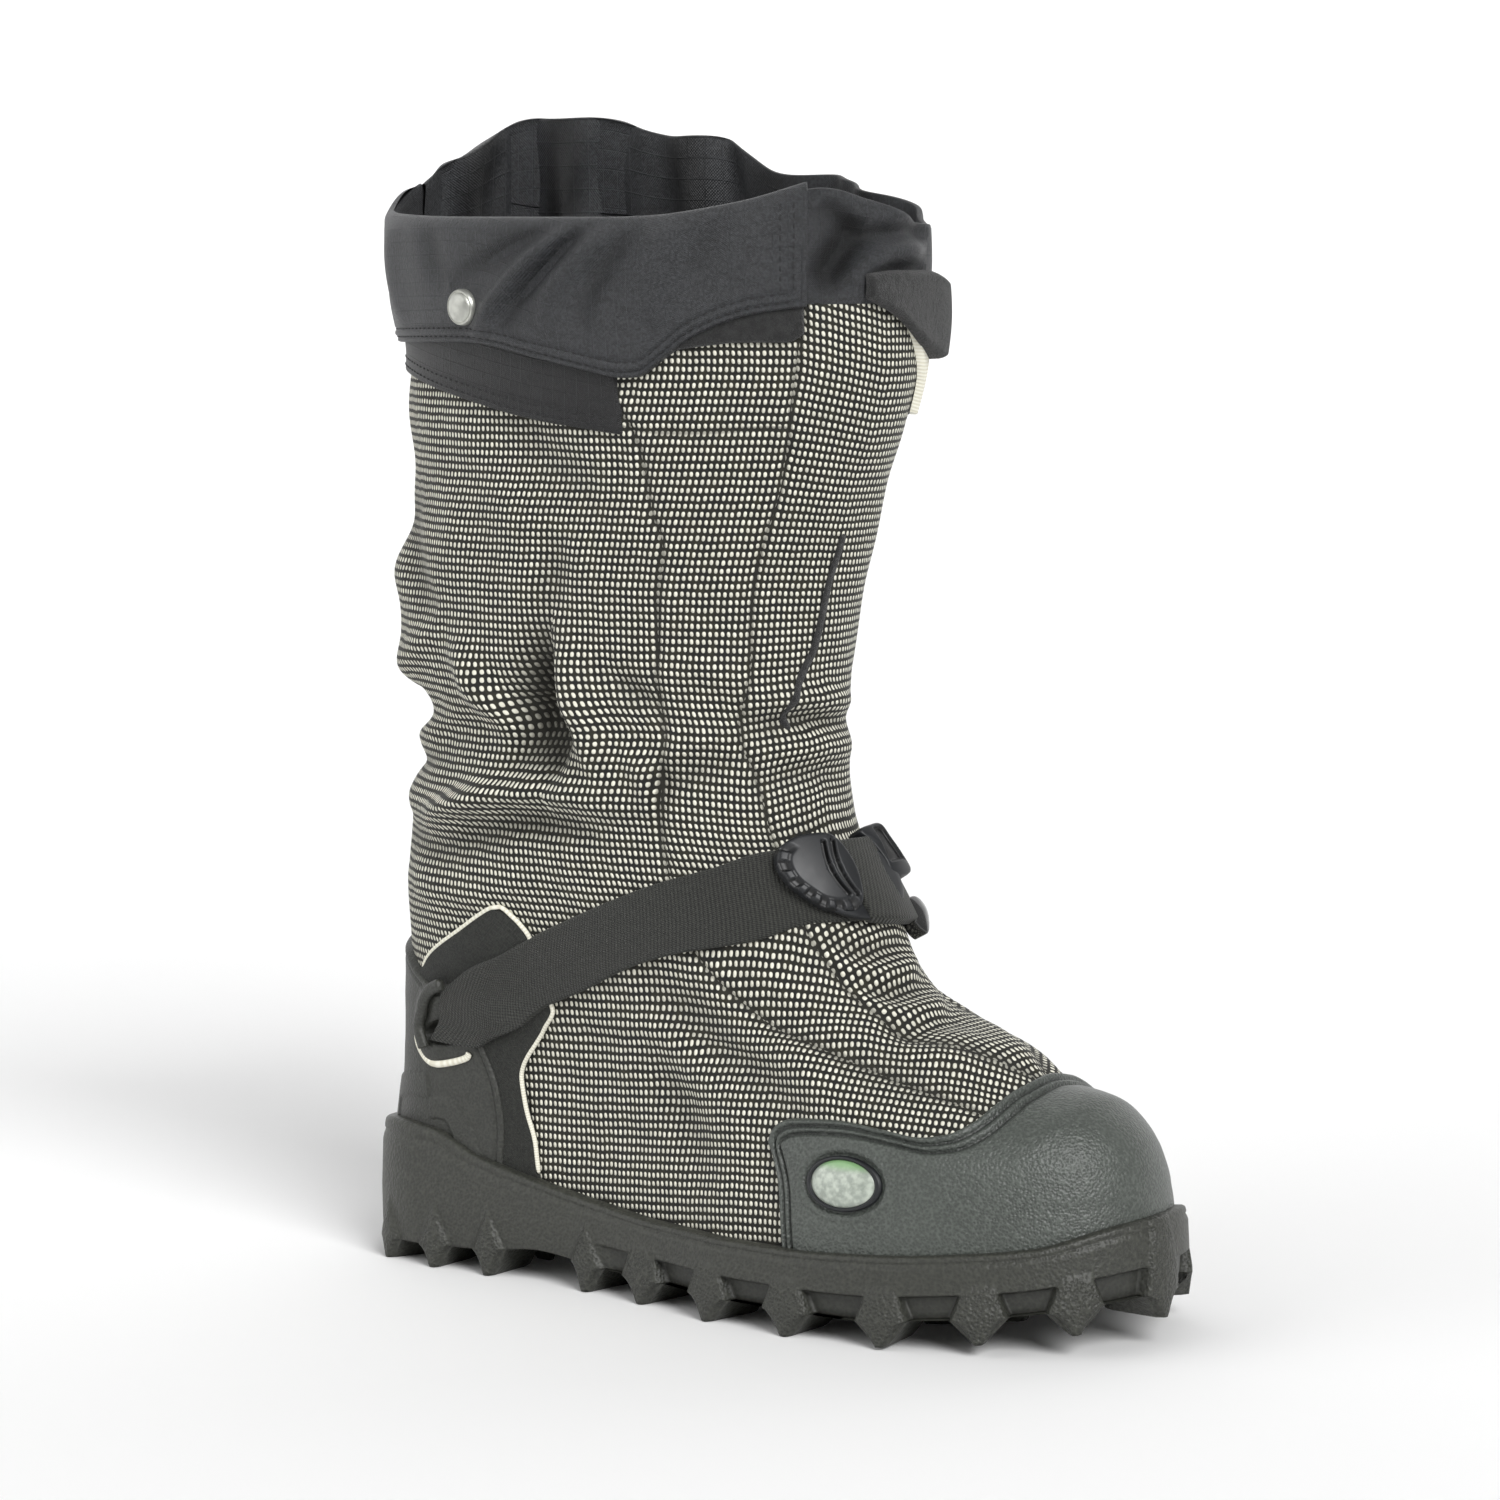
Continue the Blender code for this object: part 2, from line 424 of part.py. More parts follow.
def sole_columns(sign):
    """Places round half the sole, in share of its length, and where a lug has its tip."""
    half = sole_half(sign)
    length = lengths(half)
    stations = [lug.outer if sign < 0 else lug.inner for lug in LUGS]
    centres = [float(np.interp(x, half[:, 0], length)) for x in stations]
    places, tips = [LUG_TIP, LUG_FOOT], [1, 0]
    for centre, between in zip(centres + [length[-1]], BETWEEN_LUGS):
        start, end = places[-1], centre - LUG_FOOT
        places += [start + (end - start) * k / (between + 1) for k in range(1, between + 1)]
        tips += [0] * between
        places += [centre - LUG_FOOT, centre - LUG_TIP]
        tips += [0, 1]
        if centre < length[-1]:
            places += [centre + LUG_TIP, centre + LUG_FOOT]
            tips += [1, 0]
    return np.array(places) / length[-1], np.array(tips)


def sole_ring(share, sign, inset):
    """Points of the sole outline at shares of its length, moved inwards."""
    half = sole_half(sign)
    tangent = np.gradient(half, axis=0)
    tangent /= np.linalg.norm(tangent, axis=1, keepdims=True)
    inward = np.stack([tangent[:, 1], -tangent[:, 0]], 1) * sign
    length = lengths(half)
    want = share * length[-1]
    place = np.stack([np.interp(want, length, half[:, k]) for k in (0, 1)], 1)
    turn = np.stack([np.interp(want, length, inward[:, k]) for k in (0, 1)], 1)
    return place + turn * np.asarray(inset)[..., None]


def outsole():
    """Rubber cup: tread with lugs, ribbed side wall, lip and the bed inside."""
    rings = {}
    counts = {}
    for sign in (-1, 1):
        share, tip = sole_columns(sign)
        counts[sign] = len(share)
        x = sole_ring(share, sign, 0 * share)[:, 0]
        s = share if sign < 0 else 2.0 - share
        floor, base, wall = curve(SIDE, "floor", x), curve(SIDE, "base", x), wall_height(s)
        middle = base + (wall - base) * RIB_APEX
        low = np.where(tip, floor, base)
        levels = [(TREAD_EDGE, base), (LUG_REACH, low), (np.where(tip, TIP_IN, FOOT_IN), low),
                  (np.where(tip, -RIB_OUT, 1.0), np.where(tip, base, base + 0.8)), (0.0, middle)]
        levels += [(step.inset, wall - step.drop) for step in GROOVE] + [(LIP_IN, wall)]
        made = [np.column_stack([sole_ring(share, sign, inset + 0 * share), z])
                for inset, z in levels]
        inside = [form(s, level_at(s, wall - drop), CUP) for drop in (0.0, 5.0)]
        inside[0][:, 2] = wall
        bed = form(s, BED + 0 * s, CUP)
        bed[:, 2] = curve(SIDE, "bed", bed[:, 0])
        rings[sign] = made + inside + [bed]
    mesh = bmesh.new()
    loops = []
    for outer, inner in zip(rings[-1], rings[1]):
        loops.append([mesh.verts.new(p * MM) for p in np.vstack([outer, inner[::-1]])])
    for low, high in zip(loops, loops[1:]):
        for k in range(len(low)):
            n = (k + 1) % len(low)
            mesh.faces.new((low[k], low[n], high[n], high[k]))
    count = counts[-1]
    tread_fill(mesh, loops[0], count, sole_columns(-1)[1])
    for k in range(count - 1):
        bed = loops[-1]
        mesh.faces.new((bed[k], bed[k + 1], bed[-2 - k], bed[-1 - k]))
    return finish("outsole", mesh, "outsole")


CENTRE_LUG = (0.25, 0.41, 0.59, 0.75)  # shares of the width where a middle lug starts and ends


def tread_fill(mesh, loop, count, tip):
    """Underside between the side lugs, with a row of middle lugs."""
    lines = []
    for k in range(count):
        left, right = loop[k], loop[-1 - k]
        if k in (0, count - 1):
            lines.append([left, right])
            continue
        line = [left]
        for n, t in enumerate(CENTRE_LUG):
            spot = left.co.lerp(right.co, t)
            if tip[k] and n in (1, 2):
                spot.z = float(curve(SIDE, "floor", spot.x / MM)) * MM
            line.append(mesh.verts.new(spot))
        lines.append(line + [right])
    mesh.faces.new(lines[0] + lines[1][::-1])
    mesh.faces.new(lines[-1] + lines[-2][::-1])
    for one, two in zip(lines[1:-2], lines[2:-1]):
        for n in range(len(one) - 1):
            mesh.faces.new((one[n], one[n + 1], two[n + 1], two[n]))


def insole():
    """Footbed that lies in the cup inside the upper's lower edge."""
    share = np.linspace(0.012, 0.988, 25)
    mesh = bmesh.new()
    loops = []
    for rise in (GAP, GAP + INSOLE):
        halves = []
        for s in (share, 2.0 - share):
            edge = form(s, BED + 1.0 + 0 * s, -CLOTH - FOOTBED_CLEAR)
            edge[:, 2] = curve(SIDE, "bed", edge[:, 0]) + rise
            halves.append(edge)
        loops.append([mesh.verts.new(p * MM) for p in np.vstack([halves[0], halves[1][::-1]])])
    low, high = loops
    for k in range(len(low)):
        n = (k + 1) % len(low)
        mesh.faces.new((low[k], low[n], high[n], high[k]))
    for loop in loops:
        for k in range(len(share) - 1):
            mesh.faces.new((loop[k], loop[k + 1], loop[-2 - k], loop[-1 - k]))
    return finish("insole", mesh, "insole")


UPPER_LEVELS = (20.4, 38, 52, 64, 73, 81, 88, 92, 96, 102, 111, 124, 140, 158,
                174, 185, 194, 203, 214, 234, 262, 288, 308, 325, UPPER_TOP)
UPPER_TURNS = 36


def turns(count):
    """Turns round the shoe, closer together at the heel and the toe."""
    t = np.arange(count) * 2.0 / count
    return t - 0.07 * np.sin(2 * math.pi * t)


def upper():
    """Woven foot and shaft: one hollow wall, open at the top and underneath."""
    s, z = np.meshgrid(turns(UPPER_TURNS), UPPER_LEVELS)
    outer, inner = form(s, z, 0.0), form(s, z, -CLOTH)
    inner[0, :, 2], inner[-1, :, 2] = outer[0, :, 2], outer[-1, :, 2]
    return shell("upper", outer, inner, "upper", wrap=True)


Fold = namedtuple("Fold", "share out")
COLLAR_FOLD = (  # outer face of the collar from its seam to its edge
    Fold(0.0, 0.0), Fold(0.12, 1.7), Fold(0.5, 1.8), Fold(0.9, 1.8), Fold(1.0, 1.0))
COLLAR_SHARES = (0.0, 0.12, 0.35, 0.65, 0.92, 1.0)
COLLAR_TURNS = 36
COLLAR_WALL = 2.2
EDGE_ROUND = 0.6


def collar():
    """Nylon tube above the cloth, taller round the back and the inner side."""
    s, t = np.meshgrid(turns(COLLAR_TURNS), COLLAR_SHARES)
    start = UPPER_TOP + GAP
    z = start + (curve(RIM, "z", s) - start) * t
    out = curve(COLLAR_FOLD, "out", t)
    edge = np.where(t == 1.0, EDGE_ROUND, 0.0)
    return shell("collar", form(s, z, out), form(s, z - edge, out - COLLAR_WALL + edge),
                 "collar", wrap=True)


def mirrored(edges):
    """The same stations on the other side of the front."""
    return tuple(Edge(2 - e.s_low, e.z_low, 2 - e.s_high, e.z_high) for e in reversed(edges))


def stacked(unders, thickness):
    """Inner and outer face at each station of a piece that rises over what it crosses."""
    return Lay(unders, tuple(under + thickness for under in unders))


def overlays():
    """Bands, patches, rubber parts and webbing laid on the upper."""
    layer("collar_band", BAND, 32, 3, BAND_LAY, "collar")
    layer("collar_flap", FLAP, 33, 3, FLAP_LAY, "collar")
    layer("hook_strip", HOOK_STRIP, 8, 1, BAND_LAY, "fuzzy")
    layer("front_tab", FRONT_TAB, 14, 3, stacked(FRONT_TAB_OUT, TAB_THICK), "fuzzy")
    layer("edge_tape", EDGE_TAPE, 8, 3, TAPE_LAY, "cream")
    layer("toe_cap", TOE_CAP + mirrored(TOE_CAP[:-1]), 32, 4, TOE_LAY, "rubber")
    layer("heel_counter", COUNTER, 16, 6, HEEL_LAY, "heel", openings=SLOT_CELLS)
    layer("heel_patch_outer", HEEL_PATCH, 18, 2, PATCH_LAY, "collar")
    layer("heel_patch_inner", mirrored(HEEL_PATCH), 18, 2, PATCH_LAY, "collar")
    layer("strap", WEBBING, 33, 2, stacked(WEBBING_UNDER, STRAP), "webbing")
    layer("strap_inner", WEBBING_IN, 18, 2, stacked(WEBBING_IN_UNDER, STRAP), "webbing")
    layer("strap_loop_outer", LOOP, 6, 1, LOOP_LAY, "heel")
    layer("strap_loop_inner", mirrored(LOOP), 6, 1, LOOP_LAY, "heel")


def hardware():
    """Buckle pieces, snap cap and badge."""
    moulding("buckle_base", 0.985, 143.5, oval(24.0, 14.5), BASE_LEVELS, "plastic")
    moulding("buckle_tab", 0.93, 148.0, TAB_OUTLINE, TAB_LEVELS, "plastic")
    moulding("strap_keeper", 1.075, 142.5, KEEPER_OUTLINE, KEEPER_LEVELS, "plastic")
    moulding("strap_hook", 1.16, 136.0, HOOK_OUTLINE, HOOK_LEVELS, "plastic")
    moulding("snap_cap", 0.365, 337.4, oval(6.3, 6.3, 16), SNAP_LEVELS, "snap")
    moulding("badge_rim", 0.698, 51.9, oval(13.0, 9.0), BEZEL_LEVELS, "plastic", ring=True)
    moulding("badge_dome", 0.698, 51.9, oval(13.0, 9.0), DOME_LEVELS, "badge")


def main():
    """Build every piece of the shoe."""
    for old in list(bpy.data.objects):
        bpy.data.objects.remove(old, do_unlink=True)
    outsole()
    insole()
    upper()
    collar()
    overlays()
    hardware()


main()
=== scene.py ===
"""Looks of the winter overshoe: cloth, rubber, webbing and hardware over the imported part."""
from __future__ import annotations

import json
import logging
import math
from collections.abc import Callable, Sequence
from dataclasses import dataclass
from enum import Enum
from typing import NamedTuple

import bmesh
import bpy
import numpy as np
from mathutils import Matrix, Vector

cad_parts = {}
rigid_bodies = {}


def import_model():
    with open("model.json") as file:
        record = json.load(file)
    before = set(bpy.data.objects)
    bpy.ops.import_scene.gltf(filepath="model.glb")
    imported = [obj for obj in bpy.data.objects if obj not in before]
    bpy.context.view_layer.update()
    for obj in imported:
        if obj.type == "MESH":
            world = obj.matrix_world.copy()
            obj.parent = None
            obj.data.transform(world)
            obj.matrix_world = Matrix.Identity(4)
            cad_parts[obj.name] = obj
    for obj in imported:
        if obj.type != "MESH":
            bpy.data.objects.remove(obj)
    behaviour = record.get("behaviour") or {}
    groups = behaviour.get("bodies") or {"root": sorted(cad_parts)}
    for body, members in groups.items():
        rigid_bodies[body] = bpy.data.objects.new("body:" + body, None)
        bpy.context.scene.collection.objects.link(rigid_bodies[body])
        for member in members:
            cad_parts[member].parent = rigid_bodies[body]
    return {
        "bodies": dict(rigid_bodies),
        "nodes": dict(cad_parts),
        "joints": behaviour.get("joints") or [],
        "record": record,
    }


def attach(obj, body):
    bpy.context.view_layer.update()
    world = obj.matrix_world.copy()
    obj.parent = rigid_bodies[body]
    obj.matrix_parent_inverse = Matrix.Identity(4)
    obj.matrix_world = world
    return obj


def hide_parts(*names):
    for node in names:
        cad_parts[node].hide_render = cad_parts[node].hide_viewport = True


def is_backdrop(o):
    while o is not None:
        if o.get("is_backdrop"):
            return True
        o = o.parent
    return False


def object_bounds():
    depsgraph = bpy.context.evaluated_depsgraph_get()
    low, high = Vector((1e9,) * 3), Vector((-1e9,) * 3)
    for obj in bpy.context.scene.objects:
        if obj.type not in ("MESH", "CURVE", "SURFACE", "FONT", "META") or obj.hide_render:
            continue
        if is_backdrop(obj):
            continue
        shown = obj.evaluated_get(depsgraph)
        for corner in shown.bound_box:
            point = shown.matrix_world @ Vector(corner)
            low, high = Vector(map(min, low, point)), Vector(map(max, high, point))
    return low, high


LOG = logging.getLogger("overshoe")
MM = 0.001
Array = np.ndarray
Rows = Sequence[NamedTuple]


# The last: the same face function that the part is built on, in millimetres

def listing(kind: type[NamedTuple], *values: tuple[float, ...]) -> tuple[NamedTuple, ...]:
    """Named rows of one kind from plain rows of numbers."""
    return tuple(kind(*row) for row in values)


class Plan(NamedTuple):
    """Half widths of the sole outline at a place along the shoe."""

    x: float
    outer: float
    inner: float


class Side(NamedTuple):
    """Heights along the sole: lug tips, between the lugs, bed and top of the side wall."""

    x: float
    floor: float
    base: float
    bed: float
    wall: float


class Ring(NamedTuple):
    """Outline of the upper at one level."""

    z: float
    back: float
    front: float
    half: float
    heel: float
    toe: float
    skew: float = 0.0
    centre: float = 0.0
    plan: float = 0.0


class Spot(NamedTuple):
    """A place on the last: turn and level."""

    s: float
    z: float


PLAN = listing(
    Plan, (-158, 41, 41), (-110, 42, 42), (-60, 42, 38), (-15, 48, 40), (25, 57, 50),
    (60, 58.5, 58.5), (90, 56, 60), (120, 52, 59), (158, 50, 56))
SIDE = listing(
    Side, (-158, 1.5, 9, 26, 43.5), (-148, 0, 7.5, 26, 46.5), (-125, 0, 7.5, 26, 50),
    (-108, 0, 8, 26, 49), (-90, 0, 9, 25.5, 41.5), (-68, 0, 11.5, 24.5, 36), (-40, 0, 9, 22.5, 31),
    (-10, 0, 8.5, 20.5, 28.5), (40, 0, 8.5, 20, 28.5), (70, 0, 8.5, 20, 30),
    (100, 2.5, 11, 21, 32.5), (125, 5, 13.5, 23, 35.5), (145, 8, 16.5, 26, 42),
    (158, 10, 18.5, 28, 44.5))
RINGS = listing(
    Ring, (18, -151, 150.5, 35, 34, 56, 0.18, 0, 1), (35, -151, 150.5, 35, 34, 58, 0.18, 0, 1),
    (47, -149.5, 149, 36, 34, 60, 0.16, 0.5, 0.97), (57, -148, 144, 39, 34, 62, 0.12, 1, 0.88),
    (66, -146.5, 135.5, 41, 35, 66, 0.08, 1.5, 0.78), (73, -146, 126, 42, 36, 71, 0.05, 2, 0.7),
    (80, -145.5, 115.5, 43, 38, 80, 0.02, 2, 0.6), (86, -145.5, 107.5, 43, 40, 90, 0, 2, 0.52),
    (90.5, -145.5, 100, 43.5, 42, 100, 0, 1.5, 0.45), (94, -145.5, 90, 44, 44, 106, 0, 1, 0.4),
    (100, -145.5, 74.5, 44, 47, 104, 0, 1, 0.33), (108, -145.5, 64, 45, 51, 98, 0, 0.5, 0.24),
    (118, -146, 56, 46, 56, 92, 0, 0, 0.15), (132, -147, 48.5, 47.5, 64, 87, 0, 0, 0.06),
    (148, -147, 38, 49, 74, 84), (165, -145.5, 29, 50.5, 82, 82), (180, -142, 27, 51.5, 82, 82),
    (194, -137, 26.8, 52, 81.9, 81.9), (206, -145, 27.5, 53.5, 86, 86),
    (220, -150, 29.3, 54, 89.6, 89.6), (240, -150, 32, 55.5, 91, 91),
    (264, -145.5, 37.3, 57, 91.4, 91.4), (281, -143, 42.7, 58, 92.9, 92.9),
    (300, -144.5, 50, 60, 97.5, 97.5), (320, -143, 55, 61, 99, 99), (342, -148, 56, 62, 102, 102),
    (366, -150, 56, 62.5, 103, 103), (408, -148, 50, 61, 99, 99))
RIM = listing(
    Spot, (0, 380), (0.08, 371), (0.2, 368), (0.4, 367), (0.6, 367), (0.7, 368.5), (0.8, 373),
    (0.87, 378), (0.94, 374), (1.02, 367), (1.1, 366), (1.2, 371), (1.3, 380), (1.4, 384),
    (1.5, 389), (1.6, 397), (1.7, 400), (1.82, 404), (1.9, 396), (2, 380))

SOLE_BACK, SOLE_FRONT = -158.0, 158.0
HEEL_ROUND, TOE_ROUND_OUT, TOE_ROUND_IN = 36.0, 72.0, 50.0
UPPER_IN, BED, SEAT, CLOTH = 7.0, 20.0, 0.7, 2.0
CLOTH_TOP = 340.0
CLOTH_DEPTH, FOOT_DEPTH = 6.0, 5.5   # how far the cloth and the strips run down behind the lip


def curve(rows: Rows, column: str, at: Array | float) -> Array:
    """Smooth value of one named column at a position, flat beyond the first and last row.

    Args:
        rows: Table whose first column is the position.
        column: Name of the column to read.
        at: Positions to read it at.

    Returns:
        The values, in the shape of the positions.
    """
    x = np.array([row[0] for row in rows], float)
    y = np.array([getattr(row, column) for row in rows], float)
    at = np.clip(np.asarray(at, float), x[0], x[-1])
    step = np.diff(x)
    rise = np.diff(y) / step
    slope = np.zeros(len(x))
    slope[0], slope[-1] = rise[0], rise[-1]
    both = rise[:-1] * rise[1:]
    safe = np.where(both > 0, rise[:-1] + rise[1:], 1.0)
    slope[1:-1] = np.where(both > 0, 2.0 * both / safe, 0.0)
    k = np.clip(np.searchsorted(x, at, side="right") - 1, 0, len(x) - 2)
    t = (at - x[k]) / step[k]
    return ((1 + 2 * t) * (1 - t) ** 2 * y[k] + t * (1 - t) ** 2 * step[k] * slope[k]
            + t * t * (3 - 2 * t) * y[k + 1] + t * t * (t - 1) * step[k] * slope[k + 1])


def rounded(t: Array) -> Array:
    """Quarter circle that rises from 0 at t = 0 to 1 at t = 1 and stays there."""
    return np.sqrt(1.0 - (1.0 - np.clip(t, 0.0, 1.0)) ** 2)


def ease(t: Array | float) -> Array:
    """Smooth step from 0 at t = 0 to 1 at t = 1."""
    t = np.clip(t, 0.0, 1.0)
    return t * t * (3 - 2 * t)


def lengths(points: Array) -> Array:
    """Distance along a polyline at each of its points."""
    return np.r_[0.0, np.cumsum(np.linalg.norm(np.diff(points, axis=0), axis=1))]


def along(points: Array, fractions: Array) -> Array:
    """Points at fractions of the length of a polyline."""
    length = lengths(points)
    want = np.asarray(fractions) * length[-1]
    return np.stack([np.interp(want, length, points[:, k]) for k in range(points.shape[1])], 1)


class Last:
    """Face of the upper by turn s (0 back, 1 front, 2 back again) and level z."""

    samples = 181
    turn_steps = 160

    def __init__(self) -> None:
        """Works the face out once, as a table that at() reads between."""
        self.levels = np.arange(RINGS[0].z, RINGS[-1].z + 1.0)
        share = np.linspace(0.0, 1.0, self.turn_steps + 1)
        rows = []
        for z in self.levels:
            outer, inner = along(self.half_ring(z, -1), share), along(self.half_ring(z, 1), share)
            rows.append(np.vstack([outer, inner[-2::-1]]))
        self.face = np.array(rows)
        ring = self.face[:, :-1]
        turn = np.roll(ring, -1, 1) - np.roll(ring, 1, 1)
        normal = np.cross(turn, np.gradient(ring, axis=0))
        normal /= np.linalg.norm(normal, axis=2, keepdims=True)
        self.normal = np.concatenate([normal, normal[:, :1]], 1)
        step = np.linalg.norm(np.diff(self.face, axis=1), axis=2)
        self.arc = np.concatenate([0 * step[:, :1], np.cumsum(step, 1)], 1)

    def half_ring(self, z: float, sign: int) -> Array:
        """Outline of the upper at one level, back to front; sign -1 is the outer side."""
        row = {name: float(curve(RINGS, name, z)) for name in Ring._fields[1:]}
        turn = np.linspace(0.0, math.pi, self.samples)
        x = row["back"] + (row["front"] - row["back"]) * (1 - np.cos(turn)) / 2
        plan = curve(PLAN, "outer" if sign < 0 else "inner", x) - UPPER_IN
        half = row["half"] + (plan - row["half"]) * row["plan"]
        toe = row["toe"] * (1.0 - sign * row["skew"])
        half = half * rounded((x - row["back"]) / row["heel"]) * rounded((row["front"] - x) / toe)
        centre = row["centre"] * np.clip((x - row["back"]) / 100.0, 0.0, 1.0)
        fade = max(0.0, 1.0 - max(0.0, z - BED) / 40.0)
        lift = (curve(SIDE, "bed", x) - BED) * fade
        return np.stack([x, centre + sign * half, z + lift], 1)

    def read(self, table: Array, s: Array, z: Array) -> Array:
        """Value of one of the tables at turns and levels, blended between its entries."""
        u = np.mod(s, 2.0) * self.turn_steps
        v = np.clip(z - self.levels[0], 0, len(self.levels) - 1.001)
        j, i = np.minimum(u.astype(int), 2 * self.turn_steps - 1), v.astype(int)
        fu, fv = u - j, v - i
        if table.ndim == 3:
            fu, fv = fu[..., None], fv[..., None]
        return ((table[i, j] * (1 - fu) + table[i, j + 1] * fu) * (1 - fv)
                + (table[i + 1, j] * (1 - fu) + table[i + 1, j + 1] * fu) * fv)

    def at(self, s: Array, z: Array, out: Array | float = 0.0) -> Array:
        """Points of the face at turns and levels, moved outwards."""
        s, z, out = np.broadcast_arrays(np.asarray(s, float), z, out)
        return self.read(self.face, s, z) + self.read(self.normal, s, z) * out[..., None]

    def level_at(self, s: Array, height: Array) -> Array:
        """Level whose real height at turn s equals the wanted height."""
        z = np.array(height, float)
        for _ in range(8):
            z = z + height - self.at(s, z)[..., 2]
        return z

    def wall_height(self, s: Array) -> Array:
        """Height of the top of the sole's side wall next to the upper."""
        height = np.full(np.shape(s), 35.0)
        for _ in range(6):
            height = curve(SIDE, "wall", self.at(s, self.level_at(s, height))[..., 0])
        return height

    def lip(self, s: Array) -> Array:
        """Level just above the top of the side wall."""
        return self.level_at(s, self.wall_height(s) + SEAT)

    def flat(self, s: Array, z: Array) -> Array:
        """Turns and levels in millimetres: arc round the shoe from the back, and level."""
        s, z = np.broadcast_arrays(np.asarray(s, float), z)
        whole = np.floor(s / 2.0)
        girth = self.read(self.arc, np.full(s.shape, 1.99999), z)
        return np.stack([self.read(self.arc, s, z) + whole * girth, z + 0.0], -1)


LAST = Last()


# Creases and seams, as curves on the last

MEASURED: dict[tuple, tuple[Array, Array]] = {}   # distances already worked out


@dataclass(frozen=True)
class Path:
    """Smooth curve through a few places on the last."""

    spots: tuple[Spot, ...]
    steps: int = 6

    def dense(self) -> Array:
        """Places along the curve, closely spaced, as turns and levels."""
        points = np.array(self.spots, float)
        if len(points) < 3:
            t = np.linspace(0, 1, self.steps)[:, None]
            return points[0] * (1 - t) + points[-1] * t
        padded = np.vstack([2 * points[0] - points[1], points, 2 * points[-1] - points[-2]])
        parts = []
        t = np.linspace(0, 1, self.steps, endpoint=False)[:, None]
        for a, b, c, d in zip(padded, padded[1:], padded[2:], padded[3:]):
            parts.append(0.5 * (2 * b + (c - a) * t + (2 * a - 5 * b + 4 * c - d) * t ** 2
                                + (3 * b - a - 3 * c + d) * t ** 3))
        return np.vstack(parts + [points[-1:]])

    def measure(self, s: Array, z: Array) -> tuple[Array, Array]:
        """Signed distance to the curve in millimetres and the share of its length.

        Args:
            s: Turns of the places to measure.
            z: Levels of the places to measure.

        Returns:
            Distance, positive on the toe's side of a curve that runs down the outer face, and
            the share of the curve's length where the nearest point lies.
        """
        key = (self, s.shape, float(s.sum()), float(z.sum()))
        if key not in MEASURED:
            MEASURED[key] = self.work_out(s, z)
        return MEASURED[key]

    def work_out(self, s: Array, z: Array) -> tuple[Array, Array]:
        """Signed distance and share, worked out segment by segment."""
        line = self.dense()
        here = LAST.flat(s, z)
        path = LAST.flat(line[:, 0], line[:, 1])
        total = lengths(path)
        best = np.full(s.shape, 1e9)
        side, share = np.zeros(s.shape), np.zeros(s.shape)
        for a, b, start in zip(path, path[1:], total):
            run = b - a
            size = float(np.hypot(*run)) or 1e-6
            t = np.clip(((here - a) @ run) / size ** 2, 0, 1)
            gap = here - a - t[..., None] * run
            far = np.hypot(gap[..., 0], gap[..., 1])
            closer = far < best
            cross = gap[..., 1] * run[0] - gap[..., 0] * run[1]
            best = np.where(closer, far, best)
            side = np.where(closer, np.where(cross >= 0, 1.0, -1.0), side)
            share = np.where(closer, (start + t * size) / total[-1], share)
        return best * side, share


def path(*pairs: tuple[float, float]) -> Path:
    """Path through (turn, level) pairs."""
    return Path(tuple(Spot(*pair) for pair in pairs))


class Crease(NamedTuple):
    """A trough (negative depth) or ridge along a path, with its half widths on either side."""

    path: Path
    depth: float
    left: float
    right: float

    def across(self, s: Array, z: Array) -> tuple[Array, Array]:
        """Height across the crease at places, and the share of its length they lie at."""
        far, share = self.path.measure(s, z)
        width = np.where(far > 0, self.right, self.left)
        return self.depth * np.exp(-(far / width) ** 2), share


def creases(*folds: tuple) -> tuple[Crease, ...]:
    """Creases from rows of depth and half widths, then (turn, level) pairs."""
    return tuple(Crease(path(*fold[3:]), *fold[:3]) for fold in folds)


